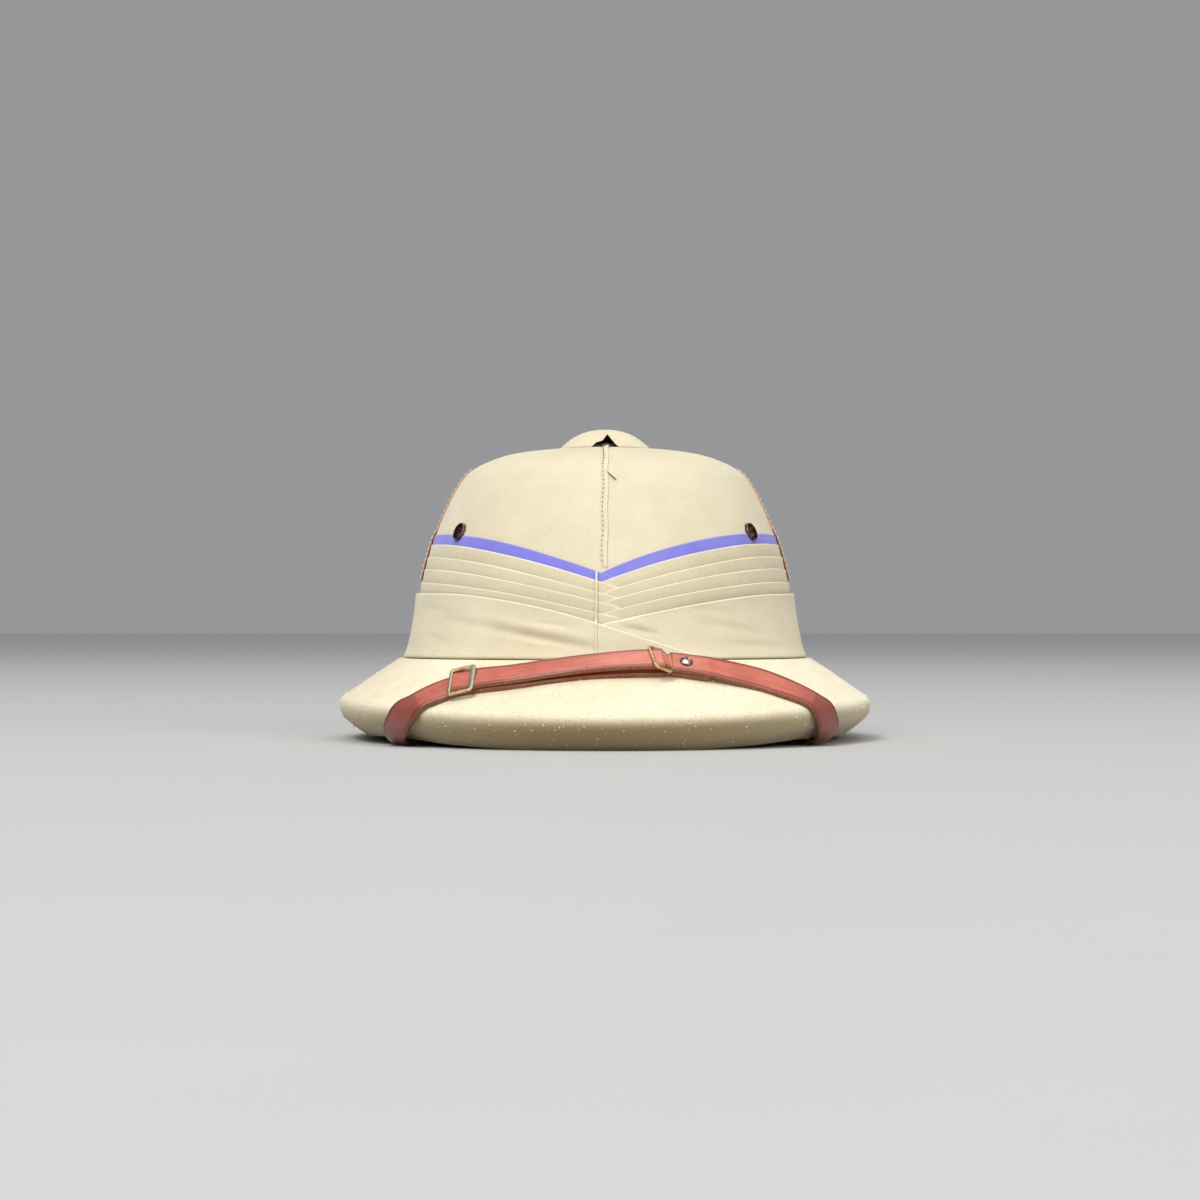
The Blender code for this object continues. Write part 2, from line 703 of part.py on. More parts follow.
def strap_half(turn, down, d_turn, d_down):
    """Half the strap's width as steps of turn and of share, square to its route over the brim's top.

    Near the crease it swings round to lie along the crease, as the strap bends over it.
    """
    by_turn = brim_point(turn + 0.5, down, 0) - brim_point(turn - 0.5, down, 0)
    by_down = brim_point(turn, 1.0, 0) - brim_point(turn, 0.0, 0)
    run = (by_turn * d_turn + by_down * d_down).normalized()
    across = by_turn.cross(by_down).normalized().cross(run)
    swing = min(max((down - CREASE_SWING) / (1 - CREASE_SWING), 0.0), 1.0)
    along_crease = by_turn.normalized() * (1 if across.dot(by_turn) > 0 else -1)
    across = across.lerp(along_crease, swing).normalized() * (STRAP_WIDTH / 2)
    return across.dot(by_turn) / by_turn.length_squared, across.dot(by_down) / by_down.length_squared


def strap_section(corner, under, over):
    """One ring round the strap's section. corner: a function of side and distance off the brim."""
    return [corner(side, under) for side in (-1, 0, 1)] + [corner(side, over) for side in (1, 0, -1)]


def on_outline(turn, down, off):
    """As brim_point, for a share that may run a little past the start of the rounded crease."""
    if down <= 1.0:
        return brim_point(turn, max(down, 0.0), off)
    spare = (down - 1.0) * slope_length(turn)
    place = 1.0
    while place < 5.0:
        piece = (brim_point(turn, place + 1.0, 0) - brim_point(turn, place, 0)).length
        if spare <= piece:
            break
        spare -= piece
        place += 1.0
    piece = (brim_point(turn, place + 1.0, 0) - brim_point(turn, place, 0)).length
    return brim_point(turn, place + spare / piece, off)


def add_strap(name, route, steps, hidden, material):
    """A flat strap that follows the brim's top and, where hidden is set, goes on round its edge."""
    rings = []
    last = steps if not hidden else steps - 1
    for i in range(last + 1):
        share = i / steps
        turn, down, lift, thick = route_values(route, share)
        before = route_values(route, max(share - 0.5 / steps, 0))
        after = route_values(route, min(share + 0.5 / steps, 1))
        turn_step, down_step = strap_half(turn, down, after[0] - before[0], after[1] - before[1])
        under = GAP + lift * (STRAP_THICKNESS + GAP)

        def corner(side, off):
            return on_outline(turn + side * turn_step, down + side * down_step, off)

        rings.append(strap_section(corner, under, under + thick * STRAP_THICKNESS))
    if hidden:
        rings += hidden_rings(route[-1]["turn"])
    return add_rings(name, rings, material, closed=False)


def hidden_rings(turn):
    """The strap's rings from the crease round the foot to the inside of the head opening."""
    rings = []
    hand = 1 if turn > 0 else -1
    for row in STRAP_HIDDEN_ROUTE:
        here = turn + row["slide"] * (hand * STRAP_ANCHOR_TURN - turn)
        by_turn = (brim_point(here + 0.5, row["place"], 0) - brim_point(here - 0.5, row["place"], 0)).length
        spread = STRAP_WIDTH / 2 / by_turn

        def corner(side, off):
            return brim_point(here - side * spread, row["place"], off)

        rings.append(strap_section(corner, GAP, GAP + STRAP_THICKNESS))
    return rings


def strap_seat(route, share, off):
    """Place, run, side and normal of a point off the brim on a strap's route."""
    turn, down, _, _ = route_values(route, share)
    after = route_values(route, share + 0.01)
    before = route_values(route, share - 0.01)
    place = brim_point(turn, down, off)
    run = (brim_point(after[0], after[1], off) - brim_point(before[0], before[1], off)).normalized()
    outer = brim_point(turn, down, off + MM)
    normal = (outer - place).normalized()
    return place, run, normal.cross(run).normalized(), normal


def add_frame(name, seat, tilt, material):
    """A flat rectangular frame round a strap, tilted about the strap's width."""
    place, run, across, normal = seat
    run = run * math.cos(tilt) + normal * math.sin(tilt)
    normal = run.cross(across).normalized()
    half_length = BUCKLE_LENGTH / 2
    half_width = STRAP_WIDTH / 2 + BUCKLE_SIDE_ROOM + BUCKLE_BAR
    rings = []
    for a, b in ((-1, -1), (1, -1), (1, 1), (-1, 1)):
        outer = place + run * a * half_length + across * b * half_width
        inner = place + run * a * (half_length - BUCKLE_BAR) + across * b * (half_width - BUCKLE_BAR)
        rings.append([outer, outer + normal * BUCKLE_THICKNESS, inner + normal * BUCKLE_THICKNESS, inner])
    return add_rings(name, rings, material, closed=True, smooth_angle=20.0)


def main():
    clear_scene()
    cover = make_material("cover_cloth", (0.80, 0.72, 0.52), 0.9)
    brim_cloth = make_material("brim_cloth", (0.84, 0.79, 0.60), 0.92)
    band_cloth = make_material("band_cloth", (0.70, 0.62, 0.42), 0.9)
    colour_cloth = make_material("colour_cloth", (0.24, 0.22, 0.75), 0.85)
    leather = make_material("leather", (0.36, 0.08, 0.05), 0.45)
    tan = make_material("tan_binding", (0.50, 0.29, 0.16), 0.7)
    brass = make_material("brass", (0.66, 0.45, 0.20), 0.35, 1.0)
    dark_metal = make_material("dark_metal", (0.12, 0.08, 0.08), 0.4, 1.0)
    zinc = make_material("zinc", (0.55, 0.55, 0.53), 0.5, 1.0)

    make_crown(cover)
    make_brim(brim_cloth)
    for index, edge in enumerate(FOLD_EDGES[:-1]):
        make_fold(edge, FOLD_EDGES[index + 1], index == 0, colour_cloth if index == 0 else band_cloth)
    make_lower_wrap(band_cloth)
    make_front_cord(cover)
    make_seam_lap("front_seam_lap", 0, cover)
    make_seam_lap("back_seam_lap", 180, cover)
    make_side_binding("side_binding_left", -90, tan)
    make_side_binding("side_binding_right", 90, tan)
    make_ventilator_cap(cover)
    make_ventilator_collar(zinc)
    make_eyelet("eyelet_left", -1, dark_metal)
    make_eyelet("eyelet_right", 1, dark_metal)

    add_strap("chin_strap_left", STRAP_LEFT_ROUTE, 20, True, leather)
    add_strap("chin_strap_top", STRAP_TOP_ROUTE, 16, False, leather)
    add_strap("chin_strap_right", STRAP_RIGHT_ROUTE, 16, True, leather)

    layer = STRAP_THICKNESS + GAP
    tilt = math.asin(FRAME_LEAN * layer / BUCKLE_LENGTH)
    frame_off = GAP + FRAME_LAYERS * layer
    add_frame("slide_buckle", strap_seat(STRAP_TOP_ROUTE, 1.0, frame_off), -tilt, zinc)
    add_frame("end_loop", strap_seat(STRAP_TOP_ROUTE, 0.0, frame_off), tilt, brass)

    doubled = STRAP_RIGHT_ROUTE[0]["thick"] * STRAP_THICKNESS
    place, _, _, normal = strap_seat(STRAP_RIGHT_ROUTE, RIVET_SHARE, GAP + doubled + GAP)
    rivet = [(0, 0), (RIVET_RADIUS, 0), (0.6 * RIVET_RADIUS, RIVET_HEIGHT), (0, RIVET_HEIGHT)]
    add_button("strap_rivet", rivet, BUTTON_SIDES, place, normal, dark_metal)
    anchor = [(0, 0), (ANCHOR_RADIUS, 0), (0.8 * ANCHOR_RADIUS, ANCHOR_HEIGHT), (0, ANCHOR_HEIGHT)]
    for name, hand in (("left", -1), ("right", 1)):
        turn = hand * STRAP_ANCHOR_TURN
        seat = brim_point(turn, STRAP_ANCHOR_PLACE, layer + GAP)
        inward = brim_point(turn, STRAP_ANCHOR_PLACE, layer + GAP + MM) - seat
        inward.z = 0
        seat += inward.normalized() * GAP
        add_button(f"strap_anchor_{name}", anchor, BUTTON_SIDES, seat, inward, dark_metal)


main()
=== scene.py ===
"""A pith sun helmet, dressed for the render: covered crown and brim, folded band, ventilator, leather strap.

Metres, +Z up, front towards -Y. A turn is the angle of the helmet's oval plan in degrees: 0 at the front,
90 at the +X side, 180 at the back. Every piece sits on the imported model, in the same frame.
"""
from __future__ import annotations

import logging
import math
from collections.abc import Callable, Sequence
from dataclasses import dataclass, field, replace
from enum import Enum

import bpy
import numpy as np
from mathutils import Matrix, Vector

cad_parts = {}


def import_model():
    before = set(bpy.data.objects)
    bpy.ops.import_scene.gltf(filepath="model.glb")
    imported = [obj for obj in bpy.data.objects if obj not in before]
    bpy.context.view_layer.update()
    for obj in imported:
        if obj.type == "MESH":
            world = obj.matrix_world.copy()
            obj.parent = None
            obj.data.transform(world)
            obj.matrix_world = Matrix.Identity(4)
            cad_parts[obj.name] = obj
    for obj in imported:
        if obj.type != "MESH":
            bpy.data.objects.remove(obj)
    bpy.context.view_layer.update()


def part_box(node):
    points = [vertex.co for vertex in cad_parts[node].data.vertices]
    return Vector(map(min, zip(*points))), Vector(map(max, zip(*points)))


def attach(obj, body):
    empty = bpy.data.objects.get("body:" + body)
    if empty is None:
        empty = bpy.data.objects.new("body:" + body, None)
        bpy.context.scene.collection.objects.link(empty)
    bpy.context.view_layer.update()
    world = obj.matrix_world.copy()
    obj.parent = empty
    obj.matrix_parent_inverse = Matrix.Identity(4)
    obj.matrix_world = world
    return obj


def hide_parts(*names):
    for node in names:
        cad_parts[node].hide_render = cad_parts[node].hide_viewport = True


LOG = logging.getLogger("helmet")
MM = 0.001
GAP = 0.3 * MM
HEAD_HALF_WIDTH = 90.0 * MM
HEAD_LENGTH_EXTRA = 14.0 * MM
UP = Vector((0, 0, 1))

Rgb = tuple[float, float, float]
Array = np.ndarray
Object = bpy.types.Object
Material = bpy.types.Material
Socket = bpy.types.NodeSocket
Sockets = bpy.types.bpy_prop_collection


def srgb(red: int, green: int, blue: int) -> Rgb:
    """Turns a colour of 0 to 255 into the linear values that shaders use."""
    shares = [channel / 255 for channel in (red, green, blue)]
    return tuple(s / 12.92 if s <= 0.04045 else ((s + 0.055) / 1.055) ** 2.4 for s in shares)


# Near-black colour of the painted shade deep in holes
HOLE_SHADE_COLOUR = (0.012, 0.008, 0.008)


def smooth(value: Array, low: float, high: float) -> Array:
    """A smooth step from 0 at low to 1 at high."""
    share = np.clip((np.asarray(value, float) - low) / (high - low), 0.0, 1.0)
    return share * share * (3 - 2 * share)


def unit(vectors: Array) -> Array:
    """Vectors of length 1 in the same directions."""
    return vectors / np.linalg.norm(vectors, axis=-1, keepdims=True)


def oval(half_width: Array, half_length: Array, turn: Array, height: Array) -> Array:
    """Points of an oval plan.

    Args:
        half_width: Half size along X.
        half_length: Half size along Y.
        turn: The oval's turn in degrees.
        height: Height over the floor.

    Returns:
        An array of points, whose last axis is x, y, z.
    """
    angle = np.radians(turn)
    x, y, z = np.broadcast_arrays(half_width * np.sin(angle), -half_length * np.cos(angle), height)
    return np.stack([x, y, z], axis=-1)


def unevenness(turn: Array, height: Array, seed: int, waves: int = 7) -> Array:
    """A gentle unevenness of -1 to 1 that closes round the plan, for cloth laid over pith by hand.

    Args:
        turn: Turns in degrees.
        height: Heights in metres.
        seed: Picks the pattern.
        waves: How many waves are added up.

    Returns:
        The unevenness at each place.
    """
    random = np.random.default_rng(seed)
    total = np.zeros(np.broadcast(turn, height).shape)
    for _ in range(waves):
        around = random.integers(2, 12)
        up = random.uniform(-90, 90)
        total = total + np.sin(np.radians(turn) * around + height * up + random.uniform(0, math.tau))
    return total / waves


class Side(Enum):
    """The two sides of the helmet, as the camera sees them."""

    LEFT = -1
    RIGHT = 1


def table(columns: str, *rows: tuple) -> tuple[dict, ...]:
    """A table's rows by the names of its columns."""
    return tuple(dict(zip(columns.split(), row)) for row in rows)


def placed(name: str, data: bpy.types.ID) -> Object:
    """Adds an object to the scene."""
    made = bpy.data.objects.new(name, data)
    bpy.context.scene.collection.objects.link(made)
    return made


# Meshes

@dataclass
class Sweep:
    """A grid of points that becomes a mesh: rows along a piece, columns all round its section.

    Attributes:
        points: Rows by columns of points.
        closed_rows: Whether the last row joins the first.
        masks: Values of 0 to 1 at every point, by name, for the materials.
    """

    points: Array
    closed_rows: bool = False
    masks: dict[str, Array] = field(default_factory=dict)

    def _lengths(self, axis: int) -> Array:
        """Mean distance along one axis of the grid from its start, one value more than it has points."""
        around = np.concatenate([self.points, np.take(self.points, [0], axis=axis)], axis=axis)
        steps = np.linalg.norm(np.diff(around, axis=axis), axis=2).max(axis=1 - axis)
        return np.concatenate([[0.0], np.cumsum(steps)])

    def build(self, name: str, sharp: float = 50.0) -> Object:
        """Makes the mesh object, with faces outwards, a UV map in metres and its masks.

        Args:
            name: The piece's name.
            sharp: Edges sharper than this angle in degrees stay sharp.

        Returns:
            The new object.
        """
        rows, columns = self.points.shape[:2]
        steps = rows if self.closed_rows else rows - 1
        i, j = np.meshgrid(np.arange(steps), np.arange(columns), indexing="ij")
        corners = [(i, j), (i, j + 1), (i + 1, j + 1), (i + 1, j)]
        faces = np.stack([(a % rows) * columns + b % columns for a, b in corners], -1).reshape(-1, 4)
        along, across = self._lengths(0), self._lengths(1)
        uvs = np.stack([np.stack([along[a], across[b]], -1) for a, b in corners], -2).reshape(-1, 4, 2)
        flat = self.points.reshape(-1, 3)
        a, b, c, d = (flat[faces[:, k]] for k in range(4))
        volume = np.einsum("ij,ij->i", a, np.cross(b, c) + np.cross(c, d)).sum()
        if volume < 0:
            faces, uvs = faces[:, ::-1], uvs[:, ::-1]
        polygons = faces.tolist()
        corner_uvs = uvs.reshape(-1, 2)
        if not self.closed_rows:
            first = list(range(columns))
            last = [(rows - 1) * columns + k for k in range(columns)]
            polygons += [first[::-1], last] if volume >= 0 else [first, last[::-1]]
            corner_uvs = np.concatenate([corner_uvs, np.zeros((2 * columns, 2))])
        mesh = bpy.data.meshes.new(name)
        mesh.from_pydata(flat.tolist(), [], polygons)
        mesh.uv_layers.new(name="UVMap").data.foreach_set("uv", corner_uvs.astype(np.float32).ravel())
        for mask, values in self.masks.items():
            spread = np.broadcast_to(values, (rows, columns)).astype(np.float32).ravel()
            mesh.attributes.new(mask, "FLOAT", "POINT").data.foreach_set("value", spread)
        mesh.shade_smooth()
        mesh.set_sharp_from_angle(angle=math.radians(sharp))
        mesh.update()
        return placed(name, mesh)


def turned(profile: list[tuple[float, float]], sides: int, centre: Vector, axis: Vector) -> Sweep:
    """A closed profile of radius and height, turned about an axis.

    Args:
        profile: The profile's points.
        sides: Steps round the axis.
        centre: Where height 0 is.
        axis: The axis's direction.

    Returns:
        The sweep, still without masks.
    """
    axis = axis.normalized()
    across = axis.orthogonal().normalized()
    other = axis.cross(across)
    angles = np.arange(sides) * math.tau / sides
    out = np.outer(np.cos(angles), across) + np.outer(np.sin(angles), other)
    radius, height = np.array(profile).T
    points = np.array(centre) + out[:, None] * radius[:, None] + np.array(axis) * height[:, None]
    return Sweep(points, closed_rows=True)


def joined(name: str, parts: list[Object]) -> Object:
    """Joins meshes into the first one and names it."""
    with bpy.context.temp_override(active_object=parts[0], selected_editable_objects=parts):
        bpy.ops.object.join()
    parts[0].name = name
    return parts[0]


def cut_by(target: Object, cutters: list[Object]) -> Object:
    """Takes cutters out of a mesh and removes them."""
    for cutter in cutters:
        modifier = target.modifiers.new("cut", "BOOLEAN")
        modifier.operation = "DIFFERENCE"
        modifier.solver = "EXACT"
        modifier.object = cutter
    bpy.context.view_layer.update()
    result = bpy.data.meshes.new_from_object(target.evaluated_get(bpy.context.evaluated_depsgraph_get()))
    target.modifiers.clear()
    target.data = result
    for cutter in cutters:
        bpy.data.objects.remove(cutter)
    return target


def dress(piece: Object, material: Material, slot: str, *nodes: str) -> None:
    """Gives a finished piece its material and its body, and hides the imported nodes that it replaces.

    Args:
        piece: The finished mesh.
        material: Its material.
        slot: Not used.
        *nodes: The nodes that it replaces.
    """
    piece.data.materials.clear()
    piece.data.materials.append(material)
    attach(piece, "root")
    if nodes:
        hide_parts(*nodes)
    LOG.info("%s: %d faces", piece.name, len(piece.data.polygons))


# Nodes

class NodeTree:
    """A short way to write nodes: most calls add one, set or link its inputs and return its output."""

    def __init__(self, tree: bpy.types.NodeTree) -> None:
        """Keeps the tree that nodes are added to."""
        self.tree = tree

    def put(self, socket: Socket, value: object) -> None:
        """Links a socket to another, or sets its own value."""
        if isinstance(value, Socket):
            self.tree.links.new(value, socket)
        else:
            socket.default_value = value

    def fill(self, node: bpy.types.Node, inputs: dict[str | int, object]) -> None:
        """Sets or links a node's inputs by name or number."""
        for key, value in inputs.items():
            self.put(node.inputs[key], value)

    def add(self, kind: str, inputs: dict[str | int, object], **settings: object) -> Sockets:
        """Adds a node with its settings and inputs, and returns its outputs."""
        node = self.tree.nodes.new(kind)
        for name, value in settings.items():
            setattr(node, name, value)
        self.fill(node, inputs)
        return node.outputs

    def math(self, operation: str, first: object, second: object = 0.0, clamp: bool = False) -> Socket:
        """A Math node."""
        return self.add("ShaderNodeMath", {0: first, 1: second}, operation=operation, use_clamp=clamp)[0]

    def times(self, first: object, second: object) -> Socket:
        """A product."""
        return self.math("MULTIPLY", first, second)

    def mix(self, share: object, low: object, high: object) -> Socket:
        """A colour Mix node."""
        node = self.tree.nodes.new("ShaderNodeMix")
        node.data_type = "RGBA"
        for name, value in (("Factor", share), ("A", low), ("B", high)):
            socket = next(s for s in node.inputs if s.name == name and s.enabled)
            self.put(socket, (*value, 1.0) if isinstance(value, tuple) else value)
        return next(s for s in node.outputs if s.enabled)

    def ramp(self, value: object, low: float, high: float, start: float = 0.0, end: float = 1.0) -> Socket:
        """A clamped Map Range node."""
        inputs = {"Value": value, "From Min": low, "From Max": high, "To Min": start, "To Max": end}
        return self.add("ShaderNodeMapRange", inputs)["Result"]

    def noise(self, vector: Socket, scale: object, detail: float = 3.0, rough: float = 0.5) -> Socket:
        """A Noise Texture's value."""
        inputs = {"Vector": vector, "Scale": scale, "Detail": detail, "Roughness": rough}
        return self.add("ShaderNodeTexNoise", inputs)["Fac"]

    def cells(self, vector: Socket, scale: object) -> Socket:
        """A Voronoi Texture's distance."""
        return self.add("ShaderNodeTexVoronoi", {"Vector": vector, "Scale": scale})["Distance"]

    def mask(self, name: str) -> Socket:
        """A piece's own mask."""
        return self.add("ShaderNodeAttribute", {}, attribute_name=name)["Fac"]

    def coordinates(self, name: str) -> Socket:
        """An output of the Texture Coordinate node, Object or UV."""
        return self.add("ShaderNodeTexCoord", {})[name]

    def bump(self, height: Socket, strength: float, distance: float) -> Socket:
        """A Bump node."""
        inputs = {"Height": height, "Strength": strength, "Distance": distance}
        return self.add("ShaderNodeBump", inputs)["Normal"]

    def group(self, group: bpy.types.NodeTree, **values: object) -> Sockets:
        """A group node with its inputs set by name, where an underscore stands for a space."""
        inputs = {name.replace("_", " "): value for name, value in values.items()}
        return self.add("ShaderNodeGroup", inputs, node_tree=group)


def node_group(kind: str, name: str, inputs: dict[str, object], output_kind: str,
               build: Callable[[NodeTree, Sockets], dict[str, Socket]]) -> bpy.types.NodeTree:
    """Makes a node group.

    Args:
        kind: The kind of tree.
        name: The group's name.
        inputs: The start value of each number, or the kind of another socket, by the input's name.
        output_kind: The kind of all its outputs.
        build: Adds the nodes from the tree and its inputs, and returns the outputs by name.

    Returns:
        The group.
    """
    group = bpy.data.node_groups.new(name, kind)
    for socket, given in inputs.items():
        number = isinstance(given, float)
        made = group.interface.new_socket(socket, in_out="INPUT",
                                          socket_type="NodeSocket" + ("Float" if number else given))
        if number:
            made.default_value = given
    tree = NodeTree(group)
    results = build(tree, group.nodes.new("NodeGroupInput").outputs)
    for result in results:
        group.interface.new_socket(result, in_out="OUTPUT", socket_type="NodeSocket" + output_kind)
    tree.fill(group.nodes.new("NodeGroupOutput"), results)
    return group


# Repeating pieces made with geometry nodes

class Repeats:
    """Geometry node trees for stitches and for lint, and the step that makes their result a plain mesh."""

    def __init__(self) -> None:
        """Builds the two trees."""
        stitch = {"Spacing": 2.7 * MM, "Length": 1.9 * MM, "Radius": 0.3 * MM, "Lean": 0.12}
        tuft = {"Density": 30000.0, "Smallest": 0.12 * MM, "Largest": 0.45 * MM, "Stretch": 2.2}
        self.stitches = self._tree("stitch_row", self._stitches, stitch)
        self.lint = self._tree("lint_scatter", self._tufts, tuft)

    @staticmethod
    def _tree(name: str, instances: Callable[[NodeTree, Sockets], Socket],
              sizes: dict[str, float]) -> bpy.types.NodeTree:
        """A tree with named sizes and a material input, whose instances become one smooth mesh."""
        def build(tree: NodeTree, given: Sockets) -> dict[str, Socket]:
            made = instances(tree, given)
            for step, inputs in (("RealizeInstances", {}), ("SetShadeSmooth", {}),
                                 ("SetMaterial", {"Material": given["Material"]})):
                made = tree.add("GeometryNode" + step, {"Geometry": made, **inputs})["Geometry"]
            return {"Geometry": made}

        inputs = {"Geometry": "Geometry", **sizes, "Material": "Material"}
        return node_group("GeometryNodeTree", name, inputs, "Geometry", build)

    @staticmethod
    def _stitches(tree: NodeTree, given: Sockets) -> Socket:
        """Stitches laid end to end along the edges of a mesh line."""
        line = tree.add("GeometryNodeMeshToCurve", {"Mesh": given["Geometry"]})["Curve"]
        spaced = {"Curve": line, "Length": given["Spacing"]}
        places = tree.add("GeometryNodeResampleCurve", spaced, mode="LENGTH")
        tangent = tree.add("GeometryNodeInputTangent", {})["Tangent"]
        align = tree.add("FunctionNodeAlignRotationToVector", {"Vector": tangent}, axis="Z")
        bead = tree.add("GeometryNodeMeshUVSphere", {"Segments": 8, "Rings": 6, "Radius": 1.0})
        radius, half_length = given["Radius"], tree.times(given["Length"], 0.5)
        size = tree.add("ShaderNodeCombineXYZ", {"X": radius, "Y": radius, "Z": half_length})
        row = tree.add("GeometryNodeInstanceOnPoints",
                       {"Points": places["Curve"], "Instance": bead["Mesh"], "Rotation": align["Rotation"],
                        "Scale": size["Vector"]})
        limits = {0: (-1, -1, -1), 1: (1, 1, 1)}
        sway = tree.add("FunctionNodeRandomValue", limits, data_type="FLOAT_VECTOR")[0]
        lean = tree.add("ShaderNodeVectorMath", {0: sway, "Scale": given["Lean"]}, operation="SCALE")
        inputs = {"Instances": row["Instances"], "Rotation": lean["Vector"]}
        return tree.add("GeometryNodeRotateInstances", inputs)["Instances"]

    @staticmethod
    def _tufts(tree: NodeTree, given: Sockets) -> Socket:
        """Small irregular tufts scattered over a mesh where its lint mask is set."""
        random = "FunctionNodeRandomValue"
        mask = tree.add("GeometryNodeInputNamedAttribute", {"Name": "lint"}, data_type="FLOAT")["Attribute"]
        density = tree.times(given["Density"], mask)
        scatter = tree.add("GeometryNodeDistributePointsOnFaces",
                           {"Mesh": given["Geometry"], "Density": density, "Seed": 11})
        tuft = tree.add("GeometryNodeMeshIcoSphere", {"Radius": 1.0, "Subdivisions": 1})
        width = tree.add(random, {2: given["Smallest"], 3: given["Largest"], "Seed": 3})[1]
        longer = tree.add(random, {2: 1.0, 3: given["Stretch"], "Seed": 5})[1]
        size = tree.add("ShaderNodeCombineXYZ", {"X": width, "Y": width, "Z": tree.times(width, longer)})
        spin = tree.add(random, {1: (math.tau, math.tau, math.tau), "Seed": 7}, data_type="FLOAT_VECTOR")[0]
        inputs = {"Points": scatter["Points"], "Instance": tuft["Mesh"], "Rotation": spin,
                  "Scale": size["Vector"]}
        return tree.add("GeometryNodeInstanceOnPoints", inputs)["Instances"]

    @staticmethod
    def make(name: str, source: Object, tree: bpy.types.NodeTree, material: Material,
             **sizes: float) -> Object:
        """Runs a tree on a source and returns the result as a plain mesh object.

        Args:
            name: The new piece's name.
            source: The mesh that the tree follows. It is left as it is.
            tree: One of the trees above.
            material: The material that the tree sets.
            **sizes: Values for the tree's named sizes.

        Returns:
            The new object.
        """
        carrier = placed(name + "_carrier", source.data)
        modifier = carrier.modifiers.new("repeats", "NODES")
        modifier.node_group = tree
        given = {**sizes, "Material": material}
        for item in tree.interface.items_tree:
            if item.in_out == "INPUT" and item.name in given:
                modifier[item.identifier] = given[item.name]
        bpy.context.view_layer.update()
        mesh = bpy.data.meshes.new_from_object(carrier.evaluated_get(bpy.context.evaluated_depsgraph_get()))
        bpy.data.objects.remove(carrier)
        mesh.name = name
        return placed(name, mesh)


def mesh_line(name: str, points: Array) -> Object:
    """A mesh of edges through points, for stitches to follow."""
    mesh = bpy.data.meshes.new(name)
    mesh.from_pydata(points.tolist(), [(k, k + 1) for k in range(len(points) - 1)], [])
    return bpy.data.objects.new(name, mesh)


# Finishes

class SharedEffects:
    """Shader groups that several finishes use: a plain weave, a mottled tone and a fuzzy nap."""

    def __init__(self) -> None:
        """Builds each group once."""
        kind, vector = "ShaderNodeTree", {"Vector": "Vector"}
        threads = {"Threads": 1900.0, "Slub": 0.5}
        self.weave = node_group(kind, "plain_weave", vector | threads, "Float", self._weave)
        self.mottle = node_group(kind, "mottled_tone", vector | {"Speck Size": 900.0}, "Float", self._mottle)
        self.nap = node_group(kind, "fuzzy_nap", vector | {"Pill Size": 520.0}, "Float", self._nap)

    @staticmethod
    def _weave(tree: NodeTree, given: Sockets) -> dict[str, Socket]:
        """Plain weave: threads along U and V pass over each other in turn, and vary in thickness."""
        split = tree.add("ShaderNodeSeparateXYZ", {0: given["Vector"]})
        u, v = (tree.times(split[axis], given["Threads"]) for axis in ("X", "Y"))
        over = [tree.math("ABSOLUTE", tree.math("SINE", tree.times(w, math.pi))) for w in (u, v)]
        cells = tree.math("ADD", tree.math("FLOOR", u), tree.math("FLOOR", v))
        odd = tree.math("MODULO", tree.math("ABSOLUTE", cells), 2.0)
        even = tree.math("SUBTRACT", 1.0, odd)
        height = tree.math("ADD", tree.times(over[0], odd), tree.times(over[1], even))
        slubs = tree.math("SUBTRACT", tree.noise(given["Vector"], 420.0, 2.0), 0.5)
        return {"Height": height, "Tone": tree.math("ADD", height, tree.times(slubs, given["Slub"]))}

    @staticmethod
    def _mottle(tree: NodeTree, given: Sockets) -> dict[str, Socket]:
        """Uneven tone: broad patches, small blotches and a few specks."""
        broad = tree.ramp(tree.noise(given["Vector"], 9.0, 2.0), 0.35, 0.65)
        small = tree.ramp(tree.noise(given["Vector"], 70.0, 3.0, 0.6), 0.35, 0.65)
        patches = tree.math("ADD", tree.times(broad, 0.6), tree.times(small, 0.4))
        return {"Patches": patches,
                "Specks": tree.ramp(tree.noise(given["Vector"], given["Speck Size"], 1.0), 0.68, 0.78)}

    @staticmethod
    def _nap(tree: NodeTree, given: Sockets) -> dict[str, Socket]:
        """Raised fuzz: pills of several sizes over a fine felted surface."""
        pills = tree.ramp(tree.cells(given["Vector"], given["Pill Size"]), 0.05, 0.45, 1.0, 0.0)
        fuzz = tree.noise(given["Vector"], 1500.0, 4.0, 0.7)
        return {"Height": tree.math("ADD", tree.times(pills, 0.5), fuzz), "Pills": pills}


def new_material(name: str) -> tuple[Material, NodeTree, bpy.types.Node]:
    """A material with its tree and its Principled shader."""
    material = bpy.data.materials.new(name)
    material.use_nodes = True
    return material, NodeTree(material.node_tree), material.node_tree.nodes["Principled BSDF"]


